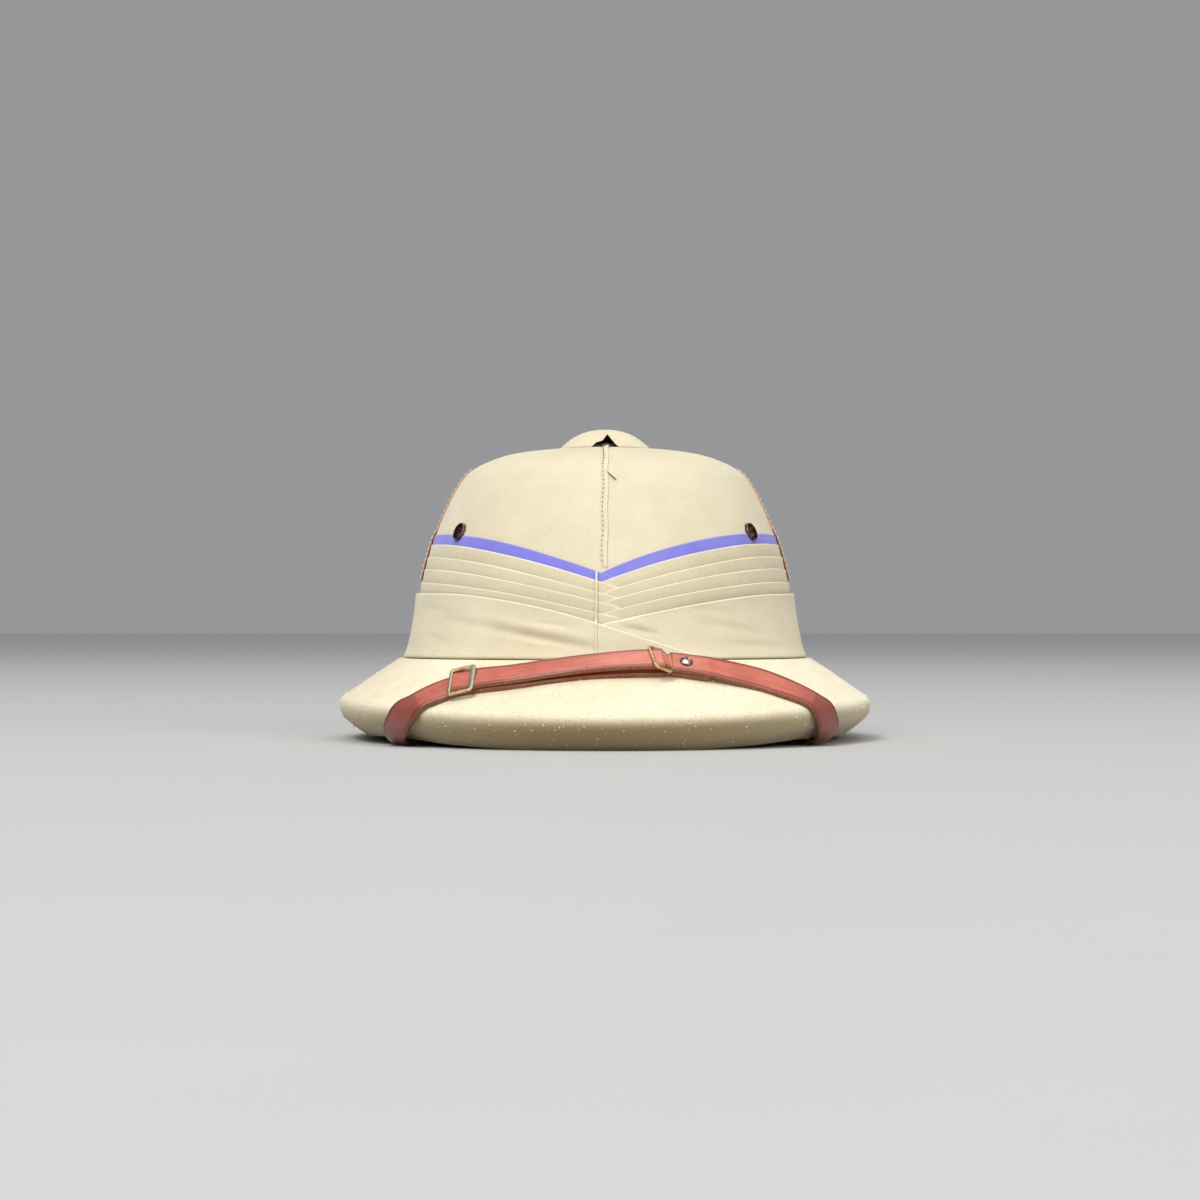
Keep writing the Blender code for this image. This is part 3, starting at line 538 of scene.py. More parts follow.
@dataclass(frozen=True)
class ClothFinish:
    """Woven cotton with its weave and uneven tone, painted highlights on folded edges and painted shade in
    folds and recesses.

    Attributes:
        light: Colour of the cleanest patches.
        shade: Colour of the duller patches.
        ridge: Colour of the painted highlight along folded edges, where its mask is set.
        tuck: Darker colour between the threads, in specks and pills, and painted shade where its mask is set.
        threads: Threads per metre.
        weave_depth: How far the weave darkens between threads.
        nap: Share of fuzz in the surface.
        specks: How strongly small dull specks show.
        roughness: The surface's roughness.
    """

    light: Rgb
    shade: Rgb
    ridge: Rgb
    tuck: Rgb
    threads: float = 1900.0
    weave_depth: float = 0.16
    nap: float = 0.25
    specks: float = 0.35
    roughness: float = 0.9

    def material(self, name: str, effects: SharedEffects) -> Material:
        """Builds the material."""
        material, tree, shader = new_material(name)
        place = tree.coordinates("Object")
        weave = tree.group(effects.weave, Vector=tree.coordinates("UV"), Threads=self.threads)
        mottle = tree.group(effects.mottle, Vector=place)
        nap = tree.group(effects.nap, Vector=place)
        colour = tree.mix(mottle["Patches"], self.shade, self.light)
        # Darker between the threads, in specks and pills, and painted shade where its mask is set
        for share in (tree.ramp(weave["Tone"], 0.0, 0.8, self.weave_depth, 0.0),
                      tree.times(mottle["Specks"], self.specks),
                      tree.ramp(nap["Pills"], 0.3, 1.0, 0.0, 0.5 * self.nap),
                      tree.mask("tuck")):
            colour = tree.mix(share, colour, self.tuck)
        # Painted highlight where the ridge highlight mask is set
        colour = tree.mix(tree.mask("ridge"), colour, self.ridge)
        height = tree.math("ADD", tree.times(weave["Height"], 1 - self.nap),
                           tree.times(nap["Height"], 2 * self.nap))
        rough = tree.ramp(mottle["Patches"], 0.0, 1.0, self.roughness - 0.05, self.roughness + 0.05)
        tree.fill(shader, {"Base Color": colour, "Normal": tree.bump(height, 0.55, 0.22 * MM),
                           "Roughness": rough, "Specular IOR Level": 0.25, "Sheen Weight": 0.25,
                           "Sheen Roughness": 0.5})
        return material


@dataclass(frozen=True)
class LeatherFinish:
    """Polished strap leather with a pressed line along each border, rubbed patches, raw cut edges and painted
    shade on its hanging ends.

    Attributes:
        face: Main colour.
        rubbed: Colour of the rubbed middle.
        dark: Colour of the border lines, of the marks and of the painted shade on the hanging ends.
        cut: Colour of the raw cut edge.
    """

    face: Rgb
    rubbed: Rgb
    dark: Rgb
    cut: Rgb

    def material(self, name: str, effects: SharedEffects) -> Material:
        """Builds the material."""
        material, tree, shader = new_material(name)
        place = tree.coordinates("Object")
        mottle = tree.group(effects.mottle, Vector=place, Speck_Size=500.0)
        across = tree.math("ABSOLUTE", tree.math("SUBTRACT", tree.times(tree.mask("across"), 2.0), 1.0))
        from_line = tree.math("ABSOLUTE", tree.math("SUBTRACT", across, 0.80))
        line = tree.math("SUBTRACT", 1.0, tree.ramp(from_line, 0.02, 0.07), clamp=True)
        stretched = tree.add("ShaderNodeVectorMath", {0: tree.coordinates("UV"), 1: (0.06, 1.0, 1.0)},
                             operation="MULTIPLY")[0]
        streaks = tree.ramp(tree.noise(stretched, 900.0, 3.0, 0.6), 0.35, 0.68)
        colour = tree.mix(mottle["Patches"], self.face, self.rubbed)
        # Mixed towards dark: streaks, the borders, the pressed lines, specks, and painted shade on the
        # hanging ends where the hang shade mask is set
        for share in (tree.times(streaks, 0.4), tree.ramp(across, 0.62, 1.0, 0.0, 0.6), tree.times(line, 0.7),
                      tree.times(mottle["Specks"], 0.5), tree.times(tree.mask("grime"), 0.6)):
            colour = tree.mix(share, colour, self.dark)
        fibres = tree.ramp(tree.noise(place, 700.0, 3.0, 0.7), 0.35, 0.7)
        colour = tree.mix(tree.mask("cut_edge"), colour, tree.mix(fibres, self.cut, self.dark))
        grain = tree.math("SUBTRACT", tree.ramp(tree.cells(place, 1100.0), 0.0, 0.6), tree.times(line, 2.2))
        gloss = tree.ramp(mottle["Patches"], 0.0, 1.0, 0.3, 0.44)
        rough = tree.math("MAXIMUM", gloss, tree.times(tree.mask("cut_edge"), 0.8))
        tree.fill(shader, {"Base Color": colour, "Normal": tree.bump(grain, 0.35, 0.15 * MM),
                           "Roughness": rough, "Coat Weight": 0.45, "Coat Roughness": 0.24})
        return material


@dataclass(frozen=True)
class MetalFinish:
    """Metal with tarnish, fine scratches, a second colour where the plating mask is set, and painted shade
    deep in holes.

    Attributes:
        bright: Colour where it is rubbed clean.
        tarnish: Colour of the dull patches.
        plating: Colour where the plating mask is set.
        roughness: Mean roughness.
    """

    bright: Rgb
    tarnish: Rgb
    plating: Rgb
    roughness: float = 0.34

    def material(self, name: str, effects: SharedEffects) -> Material:
        """Builds the material."""
        material, tree, shader = new_material(name)
        place = tree.coordinates("Object")
        specks = tree.group(effects.mottle, Vector=place, Speck_Size=1400.0)["Specks"]
        wear = tree.ramp(tree.noise(place, 350.0, 4.0, 0.65), 0.4, 0.65)
        colour = tree.mix(wear, self.bright, self.tarnish)
        colour = tree.mix(tree.mask("plating"), colour, self.plating)
        colour = tree.mix(tree.times(specks, 0.6), colour, self.tarnish)
        # Painted shade, near black, where the hole shade mask is set
        colour = tree.mix(tree.mask("soot"), colour, HOLE_SHADE_COLOUR)
        rough = tree.ramp(wear, 0.0, 1.0, self.roughness - 0.1, self.roughness + 0.15)
        scratches = tree.bump(tree.noise(place, 900.0, 3.0), 0.25, 0.08 * MM)
        tree.fill(shader, {"Base Color": colour, "Metallic": 1.0, "Roughness": rough, "Normal": scratches})
        return material


# Each finish's name, kind, colours of 0 to 255 in the order of its fields, and what else differs
# A cloth's third colour is its painted ridge highlight and its fourth also colours its painted shade; the
# leather's dark colour also colours its painted shade
FINISHES = (
    ("cover_drill", ClothFinish, ((231, 222, 195), (219, 208, 178), (244, 238, 218), (172, 152, 106)), {}),
    ("brim_flannel", ClothFinish, ((236, 228, 202), (222, 211, 180), (248, 242, 222), (142, 119, 70)),
     {"nap": 0.7, "specks": 0.1, "weave_depth": 0.08}),
    ("band_muslin", ClothFinish, ((236, 227, 198), (224, 212, 180), (250, 243, 216), (150, 130, 88)),
     {"threads": 2300.0, "weave_depth": 0.12}),
    ("violet_muslin", ClothFinish, ((146, 145, 236), (126, 124, 226), (172, 171, 244), (84, 80, 172)),
     {"threads": 2300.0, "weave_depth": 0.12}),
    ("cream_thread", ClothFinish, ((246, 240, 216), (234, 224, 194), (252, 246, 226), (170, 150, 104)),
     {"weave_depth": 0.1}),
    ("cream_lint", ClothFinish, ((238, 230, 206), (230, 220, 192), (248, 242, 224), (214, 202, 170)),
     {"weave_depth": 0.0}),
    ("grey_thread", ClothFinish, ((104, 94, 78), (72, 64, 54), (120, 112, 96), (40, 36, 30)),
     {"weave_depth": 0.2}),
    ("needle_shade", ClothFinish, ((146, 126, 92), (112, 94, 66), (160, 140, 104), (70, 56, 40)),
     {"weave_depth": 0.0}),
    ("tan_tape", ClothFinish, ((214, 164, 130), (198, 144, 108), (226, 182, 150), (150, 96, 66)),
     {"threads": 1500.0, "nap": 0.1, "roughness": 0.7}),
    ("strap_leather", LeatherFinish, ((184, 86, 66), (214, 122, 100), (88, 28, 26), (158, 100, 44)), {}),
    ("worn_brass", MetalFinish, ((228, 196, 150), (168, 128, 84), (160, 156, 142)), {"roughness": 0.5}),
    ("dull_zinc", MetalFinish, ((206, 206, 200), (140, 138, 130), (206, 206, 200)), {"roughness": 0.42}),
    ("dark_metal", MetalFinish, ((150, 120, 116), (84, 56, 52), (240, 236, 224)), {"roughness": 0.3}),
)


def finish_materials() -> dict[str, Material]:
    """Makes every material, by name."""
    effects = SharedEffects()
    return {name: kind(*(srgb(*colour) for colour in colours), **rest).material(name, effects)
            for name, kind, colours, rest in FINISHES}


# The forms that the pieces lie on

# The crown's outline. rise: share of its height. width: share of the way from the vent hole to the base
CROWN_OUTLINE = table(
    "rise width",
    (0.000, 1.000), (0.060, 0.973), (0.190, 0.943), (0.310, 0.924), (0.420, 0.893), (0.520, 0.860),
    (0.610, 0.822), (0.706, 0.774), (0.800, 0.717), (0.874, 0.653), (0.927, 0.548), (0.966, 0.400),
    (0.990, 0.170), (1.000, 0.000),
)


def smooth_column(rows: Sequence[dict], share: Array, column: str) -> Array:
    """Reads a column along a smooth curve through a table's rows.

    Args:
        rows: The table.
        share: Shares of the way through the rows.
        column: The column's name.

    Returns:
        The column's value at each share.
    """
    values = np.array([row[column] for row in rows], float)
    last = len(rows) - 1
    place = np.clip(np.asarray(share, float), 0.0, 1.0) * last
    first = np.minimum(place.astype(int), last - 1)
    t = place - first
    p0, p1 = values[np.maximum(first - 1, 0)], values[first]
    p2, p3 = values[first + 1], values[np.minimum(first + 2, last)]
    return 0.5 * (2 * p1 + (p2 - p0) * t + (2 * p0 - 5 * p1 + 4 * p2 - p3) * t ** 2
                  + (3 * p1 - p0 - 3 * p2 + p3) * t ** 3)


@dataclass(frozen=True)
class CrownForm:
    """The crown's outer face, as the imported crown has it."""

    half_width: float
    length_extra: float
    base: float
    top: float
    vent_radius: float = 12.3 * MM

    @classmethod
    def from_frame(cls) -> CrownForm:
        """Reads the crown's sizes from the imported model."""
        low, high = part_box("crown")
        return cls(high.x, high.y - high.x, low.z, high.z)

    def section(self, share: Array) -> tuple[Array, Array]:
        """Half width and height at shares of the outline."""
        width = smooth_column(CROWN_OUTLINE, share, "width")
        rise = smooth_column(CROWN_OUTLINE, share, "rise")
        return (self.vent_radius + width * (self.half_width - self.vent_radius),
                self.base + rise * (self.top - self.base))

    def _stretched(self, width: Array) -> Array:
        """Half length that goes with a half width."""
        return width + (width - self.vent_radius) / (self.half_width - self.vent_radius) * self.length_extra

    def points(self, turn: Array, share: Array, off: Array = 0.0) -> Array:
        """Points a distance off the face, along its normal."""
        width, height = self.section(share)
        step = 0.01
        below = self.section(np.maximum(np.asarray(share) - step, 0.0))
        above = self.section(np.minimum(np.asarray(share) + step, 1.0))
        out, up = above[1] - below[1], below[0] - above[0]
        length = np.hypot(out, up)
        out, up = out / length, up / length
        return oval(width + off * out, self._stretched(width) + off * out, turn, height + off * up)

    def share_at(self, height: Array) -> Array:
        """The outline's share at a height."""
        shares = np.linspace(0.0, 1.0, 1200)
        return np.interp(height, self.section(shares)[1], shares)

    def level_points(self, turn: Array, height: Array, off: Array) -> Array:
        """Points a level distance off the face, at a height."""
        width = self.section(self.share_at(height))[0]
        return oval(width + off, self._stretched(width) + off, turn, height)


@dataclass(frozen=True)
class BrimForm:
    """The brim's outline all round: top slope, rounded crease, edge face, foot, underside and opening.

    Attributes:
        ledge_margin: How far the flat ledge reaches out from the crown.
        crease_rounding: How far from its corner the crease starts to round.
    """

    crown: CrownForm
    crease_half_width: float = 148.3 * MM
    crease_half_length: float = 171.2 * MM
    crease_side_height: float = 20.8 * MM
    crease_front_height: float = 15.2 * MM
    crease_rounding: float = 8.0 * MM
    foot_half_width: float = 132.5 * MM
    foot_half_length: float = 157.0 * MM
    foot_land: float = 3.2 * MM
    foot_lift: float = 3.6 * MM
    foot_rounding: float = 1.5 * MM
    ledge_margin: float = 3.8 * MM
    underside_height: float = 27.0 * MM
    edge_bulge: float = 1.8 * MM

    def foot_height(self, turn: Array) -> Array:
        """How far the foot stands off the floor."""
        folded = np.degrees(np.arcsin(np.abs(np.sin(np.radians(turn)))))
        shares = [0, 0, 0.40, 0.95, 1.00, 0.80, 0.65]
        return self.foot_lift * np.interp(folded, [0, 20, 36, 48, 60, 75, 90], shares)

    def outline(self, turn: Array) -> tuple[Array, list[int]]:
        """The outline at each turn.

        Args:
            turn: Turns in degrees, in one row.

        Returns:
            Turns by stations of half width, half length and height, and the stations at the outline's
            corners: ledge, crease start, crease end, foot, land, opening's lower edge, opening's upper edge.
        """
        turn = np.asarray(turn, float)
        side = np.sin(np.radians(turn)) ** 2
        one = np.ones_like(turn)
        crease_height = self.crease_front_height + (self.crease_side_height - self.crease_front_height) * side
        ledge_width = self.crown.half_width + self.ledge_margin

        def ring(half_width: float, half_length: float, height: Array) -> Array:
            return np.stack([half_width * one, half_length * one, height * one], -1)

        ledge = ring(ledge_width, ledge_width + self.crown.length_extra, self.crown.base - GAP)
        crease = ring(self.crease_half_width, self.crease_half_length, crease_height)
        foot = ring(self.foot_half_width, self.foot_half_length, self.foot_height(turn))
        land = foot - np.array([self.foot_land, self.foot_land, 0.0])
        head = ring(HEAD_HALF_WIDTH, HEAD_HALF_WIDTH + HEAD_LENGTH_EXTRA, self.underside_height)
        head_top = head.copy()
        head_top[:, 2] = self.crown.base - GAP

        def towards(start: Array, end: Array, distance: float) -> Array:
            return start + unit(end - start) * distance

        def line(start: Array, end: Array, steps: int) -> list[Array]:
            return [start + (end - start) * k / steps for k in range(steps)]

        def bend(start: Array, middle: Array, end: Array, steps: int) -> list[Array]:
            shares = [k / steps for k in range(steps)]
            return [start * (1 - t) ** 2 + middle * 2 * t * (1 - t) + end * t ** 2 for t in shares]

        crease_start = towards(crease, ledge, self.crease_rounding)
        foot_start = towards(foot, crease, self.foot_rounding)
        foot_end = towards(foot, land, self.foot_rounding)
        face = foot_start - crease
        out = np.stack([-face[:, 2], -face[:, 2], face[:, :2].mean(1)], -1)
        out /= np.hypot(out[:, :1], out[:, 2:])
        full = (crease + foot_start) / 2 + out * (2 * self.edge_bulge * (0.4 + 0.6 * side))[:, None]
        crease_end = towards(crease, full, self.crease_rounding)
        rows: list[Array] = []
        corners = [0]
        for piece in (line(ledge, crease_start, 22), bend(crease_start, crease, crease_end, 12),
                      bend(crease_end, full, foot_start, 12) + bend(foot_start, foot, foot_end, 5),
                      line(foot_end, land, 2), line(land, head, 12), line(head, head_top, 4) + [head_top]):
            rows += piece
            corners.append(len(rows))
        corners[-1] -= 1
        return np.stack(rows, 1), corners

    def flat(self, turn: Array, rows: Array) -> tuple[Array, Array]:
        """The outline as distances from the axis and heights, and its length so far."""
        side = (np.sin(np.radians(turn)) ** 2)[:, None]
        flat = np.stack([rows[..., 0] * side + rows[..., 1] * (1 - side), rows[..., 2]], -1)
        steps = np.linalg.norm(np.diff(flat, axis=1), axis=2)
        return flat, np.concatenate([np.zeros((len(rows), 1)), np.cumsum(steps, axis=1)], axis=1)

    def distance_at(self, turn: Array, place: float) -> Array:
        """Distance from the ledge to a place between corners, such as 1.5 for half way over the crease."""
        rows, corners = self.outline(turn)
        _, so_far = self.flat(turn, rows)
        station = np.interp(place, range(len(corners)), corners)
        low = min(int(station), rows.shape[1] - 2)
        return so_far[:, low] + (so_far[:, low + 1] - so_far[:, low]) * (station - low)

    def points(self, turn: Array, distance: Array, off: Array) -> Array:
        """Points off the brim's face at distances from the ledge along the outline.

        Args:
            turn: Turns in degrees, in one row.
            distance: As many distances.
            off: As many distances off the face.

        Returns:
            One point for each turn.
        """
        turn, distance, off = (np.array(a, float) for a in np.broadcast_arrays(turn, distance, off))
        rows, _ = self.outline(turn)
        flat, so_far = self.flat(turn, rows)
        steps = np.diff(flat, axis=1)
        normals = unit(np.stack([-steps[..., 1], steps[..., 0]], -1))
        between = (normals[:, 1:] + normals[:, :-1]) / 2
        corner = unit(np.concatenate([normals[:, :1], between, normals[:, -1:]], axis=1))
        low = np.clip((so_far <= distance[:, None]).sum(1) - 1, 0, rows.shape[1] - 2)
        each = np.arange(len(turn))
        span = so_far[each, low + 1] - so_far[each, low]
        t = np.clip((distance - so_far[each, low]) / span, 0.0, 1.0)[:, None]
        row = rows[each, low] * (1 - t) + rows[each, low + 1] * t
        normal = corner[each, low] * (1 - t) + corner[each, low + 1] * t
        out = normal[:, 0] * off
        return oval(row[:, 0] + out, row[:, 1] + out, turn, row[:, 2] + normal[:, 1] * off)


@dataclass(frozen=True)
class SoftCrease:
    """A soft dent in cloth along a line from one turn and height to another."""

    start: tuple[float, float]
    end: tuple[float, float]
    width: float
    depth: float

    def depth_at(self, turn: Array, height: Array, degree: float = 2.0 * MM) -> Array:
        """How far the cloth lies in at each place."""
        a = np.array([self.start[0] * degree, self.start[1]])
        b = np.array([self.end[0] * degree, self.end[1]])
        run = b - a
        x, y = np.asarray(turn) * degree - a[0], np.asarray(height) - a[1]
        share = np.clip((x * run[0] + y * run[1]) / (run @ run), 0.0, 1.0)
        away = np.hypot(x - share * run[0], y - share * run[1])
        ends = np.sin(np.pi * np.clip(share, 0.02, 0.98))
        return self.depth * np.exp(-(away / self.width) ** 2) * ends


def creases(*rows: tuple[float, ...]) -> tuple[SoftCrease, ...]:
    """Creases from rows of the start's turn and height, the end's turn and height, width and depth in mm."""
    return tuple(SoftCrease((turn, height * MM), (end_turn, end_height * MM), width * MM, depth * MM)
                 for turn, height, end_turn, end_height, width, depth in rows)


# Crown and brim

@dataclass
class CoveredCrown:
    """The crown in its cloth cover, with the lapped front and back seams and their stitches."""

    form: CrownForm
    cover: Material
    thread: Material
    grey_thread: Material
    needle_shade: Material
    repeats: Repeats
    band: FoldedBand
    steps_up: int = 90
    inner_steps: int = 26
    band_inset: float = 1.25 * MM
    seam_half_width: float = 2.6 * MM
    seam_rise: float = 0.9 * MM

    def build(self, drills: list[Object]) -> None:
        """Builds the crown and its seams.

        Args:
            drills: Cutters for the eyelets' holes.
        """
        turn = np.arange(0, 360, 1.5)[:, None]
        share = np.linspace(0.0, 1.0, self.steps_up)[None, :]
        height = self.form.section(share)[1]
        uneven = unevenness(turn, height, seed=4) * 0.35 * MM * smooth(share, 0.0, 0.1)
        uneven = uneven * smooth(1 - share, 0.02, 0.3)
        band_top = self.band.edge_height(BAND_LAYERS[0], turn)
        uneven = uneven - self.band_inset * (1 - smooth(height, band_top - 4 * MM, band_top - 1 * MM))
        uneven = uneven - sum(c.depth_at((turn + 180) % 360 - 180, height) for c in CROWN_CREASES)
        outer = self.form.points(turn, share, uneven)
        inner = self._inside(turn)
        # Painted shade on the head hollow's wall
        tuck = np.concatenate([np.zeros(self.steps_up), np.full(self.inner_steps, 0.3)])
        sweep = Sweep(np.concatenate([outer, inner], axis=1), closed_rows=True, masks={"tuck": tuck[None, :]})
        crown = cut_by(sweep.build("crown_cover"), drills)
        dress(crown, self.cover, "cover_cloth", "crown")
        self._seam("front_seam", 0.0, "front_seam_lap")
        self._seam("back_seam", 180.0, "back_seam_lap")
        self._loose_thread()

    def _inside(self, turn: Array) -> Array:
        """The head hollow's wall, from its top down to the base."""
        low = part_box("brim")[1].z + GAP
        roof = 145.0 * MM
        share = np.linspace(1.0, 0.0, self.inner_steps)[None, :]
        width = smooth_column(CROWN_OUTLINE, share, "width")
        rise = smooth_column(CROWN_OUTLINE, share, "rise")
        half = self.form.vent_radius + width * (HEAD_HALF_WIDTH - self.form.vent_radius)
        return oval(half, half + width * HEAD_LENGTH_EXTRA, turn, low + rise * (roof - low))

    def _seam(self, name: str, middle: float, node: str) -> None:
        """A lapped seam from the band to the ventilator: a flat side, a folded edge and a row of stitches."""
        box_low, box_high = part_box(node)
        low = self.form.share_at(box_low.z - 1.0 * MM)
        reach = -box_high.y if middle == 0 else box_low.y
        shares = np.linspace(0.0, 1.0, 2000)
        lengths = -self.form.points(0.0, shares)[:, 1]
        high = shares[int(np.argmin(np.abs(lengths - reach)))]
        rows = np.linspace(low, high, 90)[:, None]
        half_width = self.form.section(rows)[0]
        wander = 0.25 * MM * np.sin(rows * 40) + 0.9 * MM * (0.5 - (rows - low) / (high - low))
        across = np.array([-1.6, -1.2, -0.6, 0.0, 0.5, 0.86, 1.0, 1.04, 1.0, 0.5, -0.6])[None, :]
        lift = np.array([0.0, 0.25, 0.55, 0.75, 0.9, 1.0, 0.85, 0.5, 0.12, 0.1, 0.0])[None, :]
        pucker = 1 + 0.10 * np.sin(rows * 260)
        x = across * self.seam_half_width * 0.5 * pucker + np.where(middle == 0, -wander, wander)
        hand = 1 if middle == 0 else -1
        turns = middle + np.degrees(x / np.maximum(half_width, 12 * MM)) * hand
        sunk = 1 - smooth(self.form.section(rows)[1], box_low.z - 0.5 * MM, box_low.z + 2.5 * MM)
        off = (GAP * 0.4 + lift * self.seam_rise) * (1 - sunk) - 1.5 * MM * sunk
        points = self.form.points(turns, rows, off)
        # Painted highlight along the lap's folded edge, and painted shade just past it where the lap steps
        # down
        ridge = np.array([0, 0, 0, 0, 0.1, 0.5, 0.6, 0.2, 0, 0, 0])[None, :]
        tuck = np.array([0, 0, 0, 0, 0, 0, 0, 0.7, 0.9, 0.5, 0])[None, :]
        seam = Sweep(points, masks={"ridge": ridge, "tuck": tuck}).build(name)
        dress(seam, self.cover, "cover_cloth", node)
        stitched = slice(4, 5)
        inset = turns[:, stitched] - np.degrees(2.0 * MM / np.maximum(half_width, 12 * MM)) * hand
        line = self.form.points(inset, rows, GAP + 0.5 * self.seam_rise)[4:-14, 0]
        step = line[1] - line[0]
        shifted = line + step * 1.35 * MM / np.linalg.norm(step)
        thread = {"Length": 2.2 * MM, "Radius": 0.26 * MM, "Lean": 0.2}
        # Needle holes are darker beads beside the stitches: painted shade for the holes
        hole = {"Length": 1.0 * MM, "Radius": 0.3 * MM, "Lean": 0.7}
        for kind, places, material, sizes in (("stitches", line, self.thread, thread),
                                              ("needle_holes", shifted, self.needle_shade, hole)):
            path = mesh_line(f"{name}_{kind}_line", places)
            row = self.repeats.make(f"{name}_{kind}", path, self.repeats.stitches, material,
                                    Spacing=2.7 * MM, **sizes)
            dress(row, material, "cover_cloth")
            bpy.data.objects.remove(path)

    def _loose_thread(self) -> None:
        """A short stiff grey thread end that sticks out beside the front seam."""
        start_x, end_x, start_z, end_z = 0.3 * MM, 5.6 * MM, 142.0 * MM, 137.0 * MM
        t = np.linspace(0.0, 1.0, 14)
        height = start_z + (end_z - start_z) * t
        half = self.form.section(self.form.share_at(height))[0]
        turn = np.degrees(np.arcsin((start_x + (end_x - start_x) * t) / half))
        centre = self.form.level_points(turn, height, 1.1 * MM + 0.6 * MM * np.sin(np.pi * t))
        radius = 0.34 * MM * (0.35 + 0.65 * smooth(t, 0.0, 0.35)) * (1 - 0.5 * smooth(t, 0.93, 1.0))
        angle = np.arange(8) * math.tau / 8
        ring = np.stack([np.cos(angle) * 0.75, -0.6 * np.sin(angle), np.sin(angle)], -1)
        points = centre[:, None, :] + ring[None] * radius[:, None, None]
        thread = Sweep(points, masks={"tuck": np.array([[0.0]])}).build("loose_thread_end")
        dress(thread, self.grey_thread, "cover_cloth")


@dataclass
class CoveredBrim:
    """The brim in its fuzzy cloth, with pills of lint on it, and painted shade on its edge face and
    underside.
    """

    form: BrimForm
    cover: Material
    lint: Material
    repeats: Repeats
    edge_shade: float = 0.86

    def build(self) -> None:
        """Builds the brim and its lint."""
        turn = np.arange(0, 360, 1.0)
        rows, corners = self.form.outline(turn)
        flat, _ = self.form.flat(turn, rows)
        steps = np.gradient(flat, axis=1)
        normal = unit(np.stack([-steps[..., 1], steps[..., 0]], -1))
        station = np.arange(rows.shape[1])[None, :]
        shown = smooth(station, 2, 8) * (1 - smooth(station, corners[3] - 4, corners[3]))
        off = unevenness(turn[:, None], rows[..., 2] * 1.6, seed=9) * 0.8 * MM * shown
        out = normal[..., 0] * off
        height = rows[..., 2] + normal[..., 1] * off
        points = oval(rows[..., 0] + out, rows[..., 1] + out, turn[:, None], height)
        lint = 0.22 * smooth(station, 1, 6) + 0.75 * np.exp(-((station - corners[1] - 6) / 7.0) ** 2)
        lint = lint + 0.6 * np.exp(-((station - corners[3] + 3) / 4.0) ** 2)
        lint = lint * (1 - smooth(station, corners[3] + 1, corners[3] + 3))
        lint = lint * smooth(rows[..., 2], 0.9 * MM, 2.2 * MM)
        # Painted shade from the crease over the edge face and underneath, stronger at the front and back than
        # at the sides
        under = smooth(station, corners[1] + 2, corners[2] - 1)
        shade = self.edge_shade * under * (0.55 + 0.45 * np.cos(np.radians(turn))[:, None] ** 2)
        sweep = Sweep(points, closed_rows=True, masks={"lint": np.clip(lint, 0, 1), "tuck": shade})
        brim = sweep.build("brim_cover")
        dress(brim, self.cover, "brim_cloth", "brim")
        tufts = self.repeats.make("brim_lint", brim, self.repeats.lint, self.lint,
                                  Density=90000.0, Smallest=0.06 * MM, Largest=0.42 * MM, Stretch=2.6)
        dress(tufts, self.lint, "brim_cloth")


# Folded band

# Top edges of the band's layers as shares of the crown's height: at the crossing, the sides and the back.
# bow: the power of the curve from the crossing to the side, on the left and right half.
BAND_LAYERS = table(
    "name front side back bow_left bow_right",
    ("colour_fold", 0.380, 0.577, 0.545, 1.65, 2.00), ("fold_1", 0.341, 0.531, 0.500, 1.50, 1.72),
    ("fold_2", 0.290, 0.473, 0.442, 1.40, 1.60), ("fold_3", 0.249, 0.415, 0.384, 1.40, 1.60),
    ("fold_4", 0.201, 0.353, 0.322, 1.40, 1.60), ("lower_wrap", 0.152, 0.300, 0.268, 2.00, 1.50),
)

# Soft dents in the lower wrap. Turns are in degrees, and the rest in millimetres
WRAP_CREASES = creases(
    (-58.0, 66.5, -27.0, 59.5, 2.4, 0.5), (-36.0, 61.5, 2.0, 48.5, 2.2, 1.15),
    (-38.0, 66.5, 0.0, 54.0, 2.6, -0.75), (-30.0, 56.0, -8.0, 49.5, 1.4, -0.35),
    (-62.0, 57.0, -48.0, 52.5, 2.2, 0.5), (-70.0, 72.0, -46.0, 69.0, 1.5, 0.3),
    (-24.0, 64.0, -7.0, 60.5, 1.3, 0.3), (3.5, 61.5, 15.0, 57.0, 1.7, 0.8),
    (2.0, 66.0, 14.0, 66.5, 2.0, 0.5), (24.0, 64.5, 52.0, 57.0, 2.2, 0.5),
    (20.0, 71.0, 44.0, 68.5, 1.4, 0.25), (30.0, 53.0, 62.0, 50.5, 1.6, 0.35),
    (95.0, 60.0, 130.0, 55.0, 4.0, 0.8), (-150.0, 62.0, -110.0, 56.0, 4.0, 0.8),
)

# Soft wrinkles in the crown's cover
CROWN_CREASES = creases(
    (-34.0, 138.5, -2.0, 136.0, 1.8, 0.35), (-30.0, 131.0, -4.0, 130.5, 2.2, 0.25),
    (3.0, 144.0, 24.0, 140.0, 2.0, 0.3), (6.0, 124.0, 38.0, 128.0, 2.6, 0.25),
    (140.0, 130.0, 176.0, 134.0, 2.6, 0.3),
)


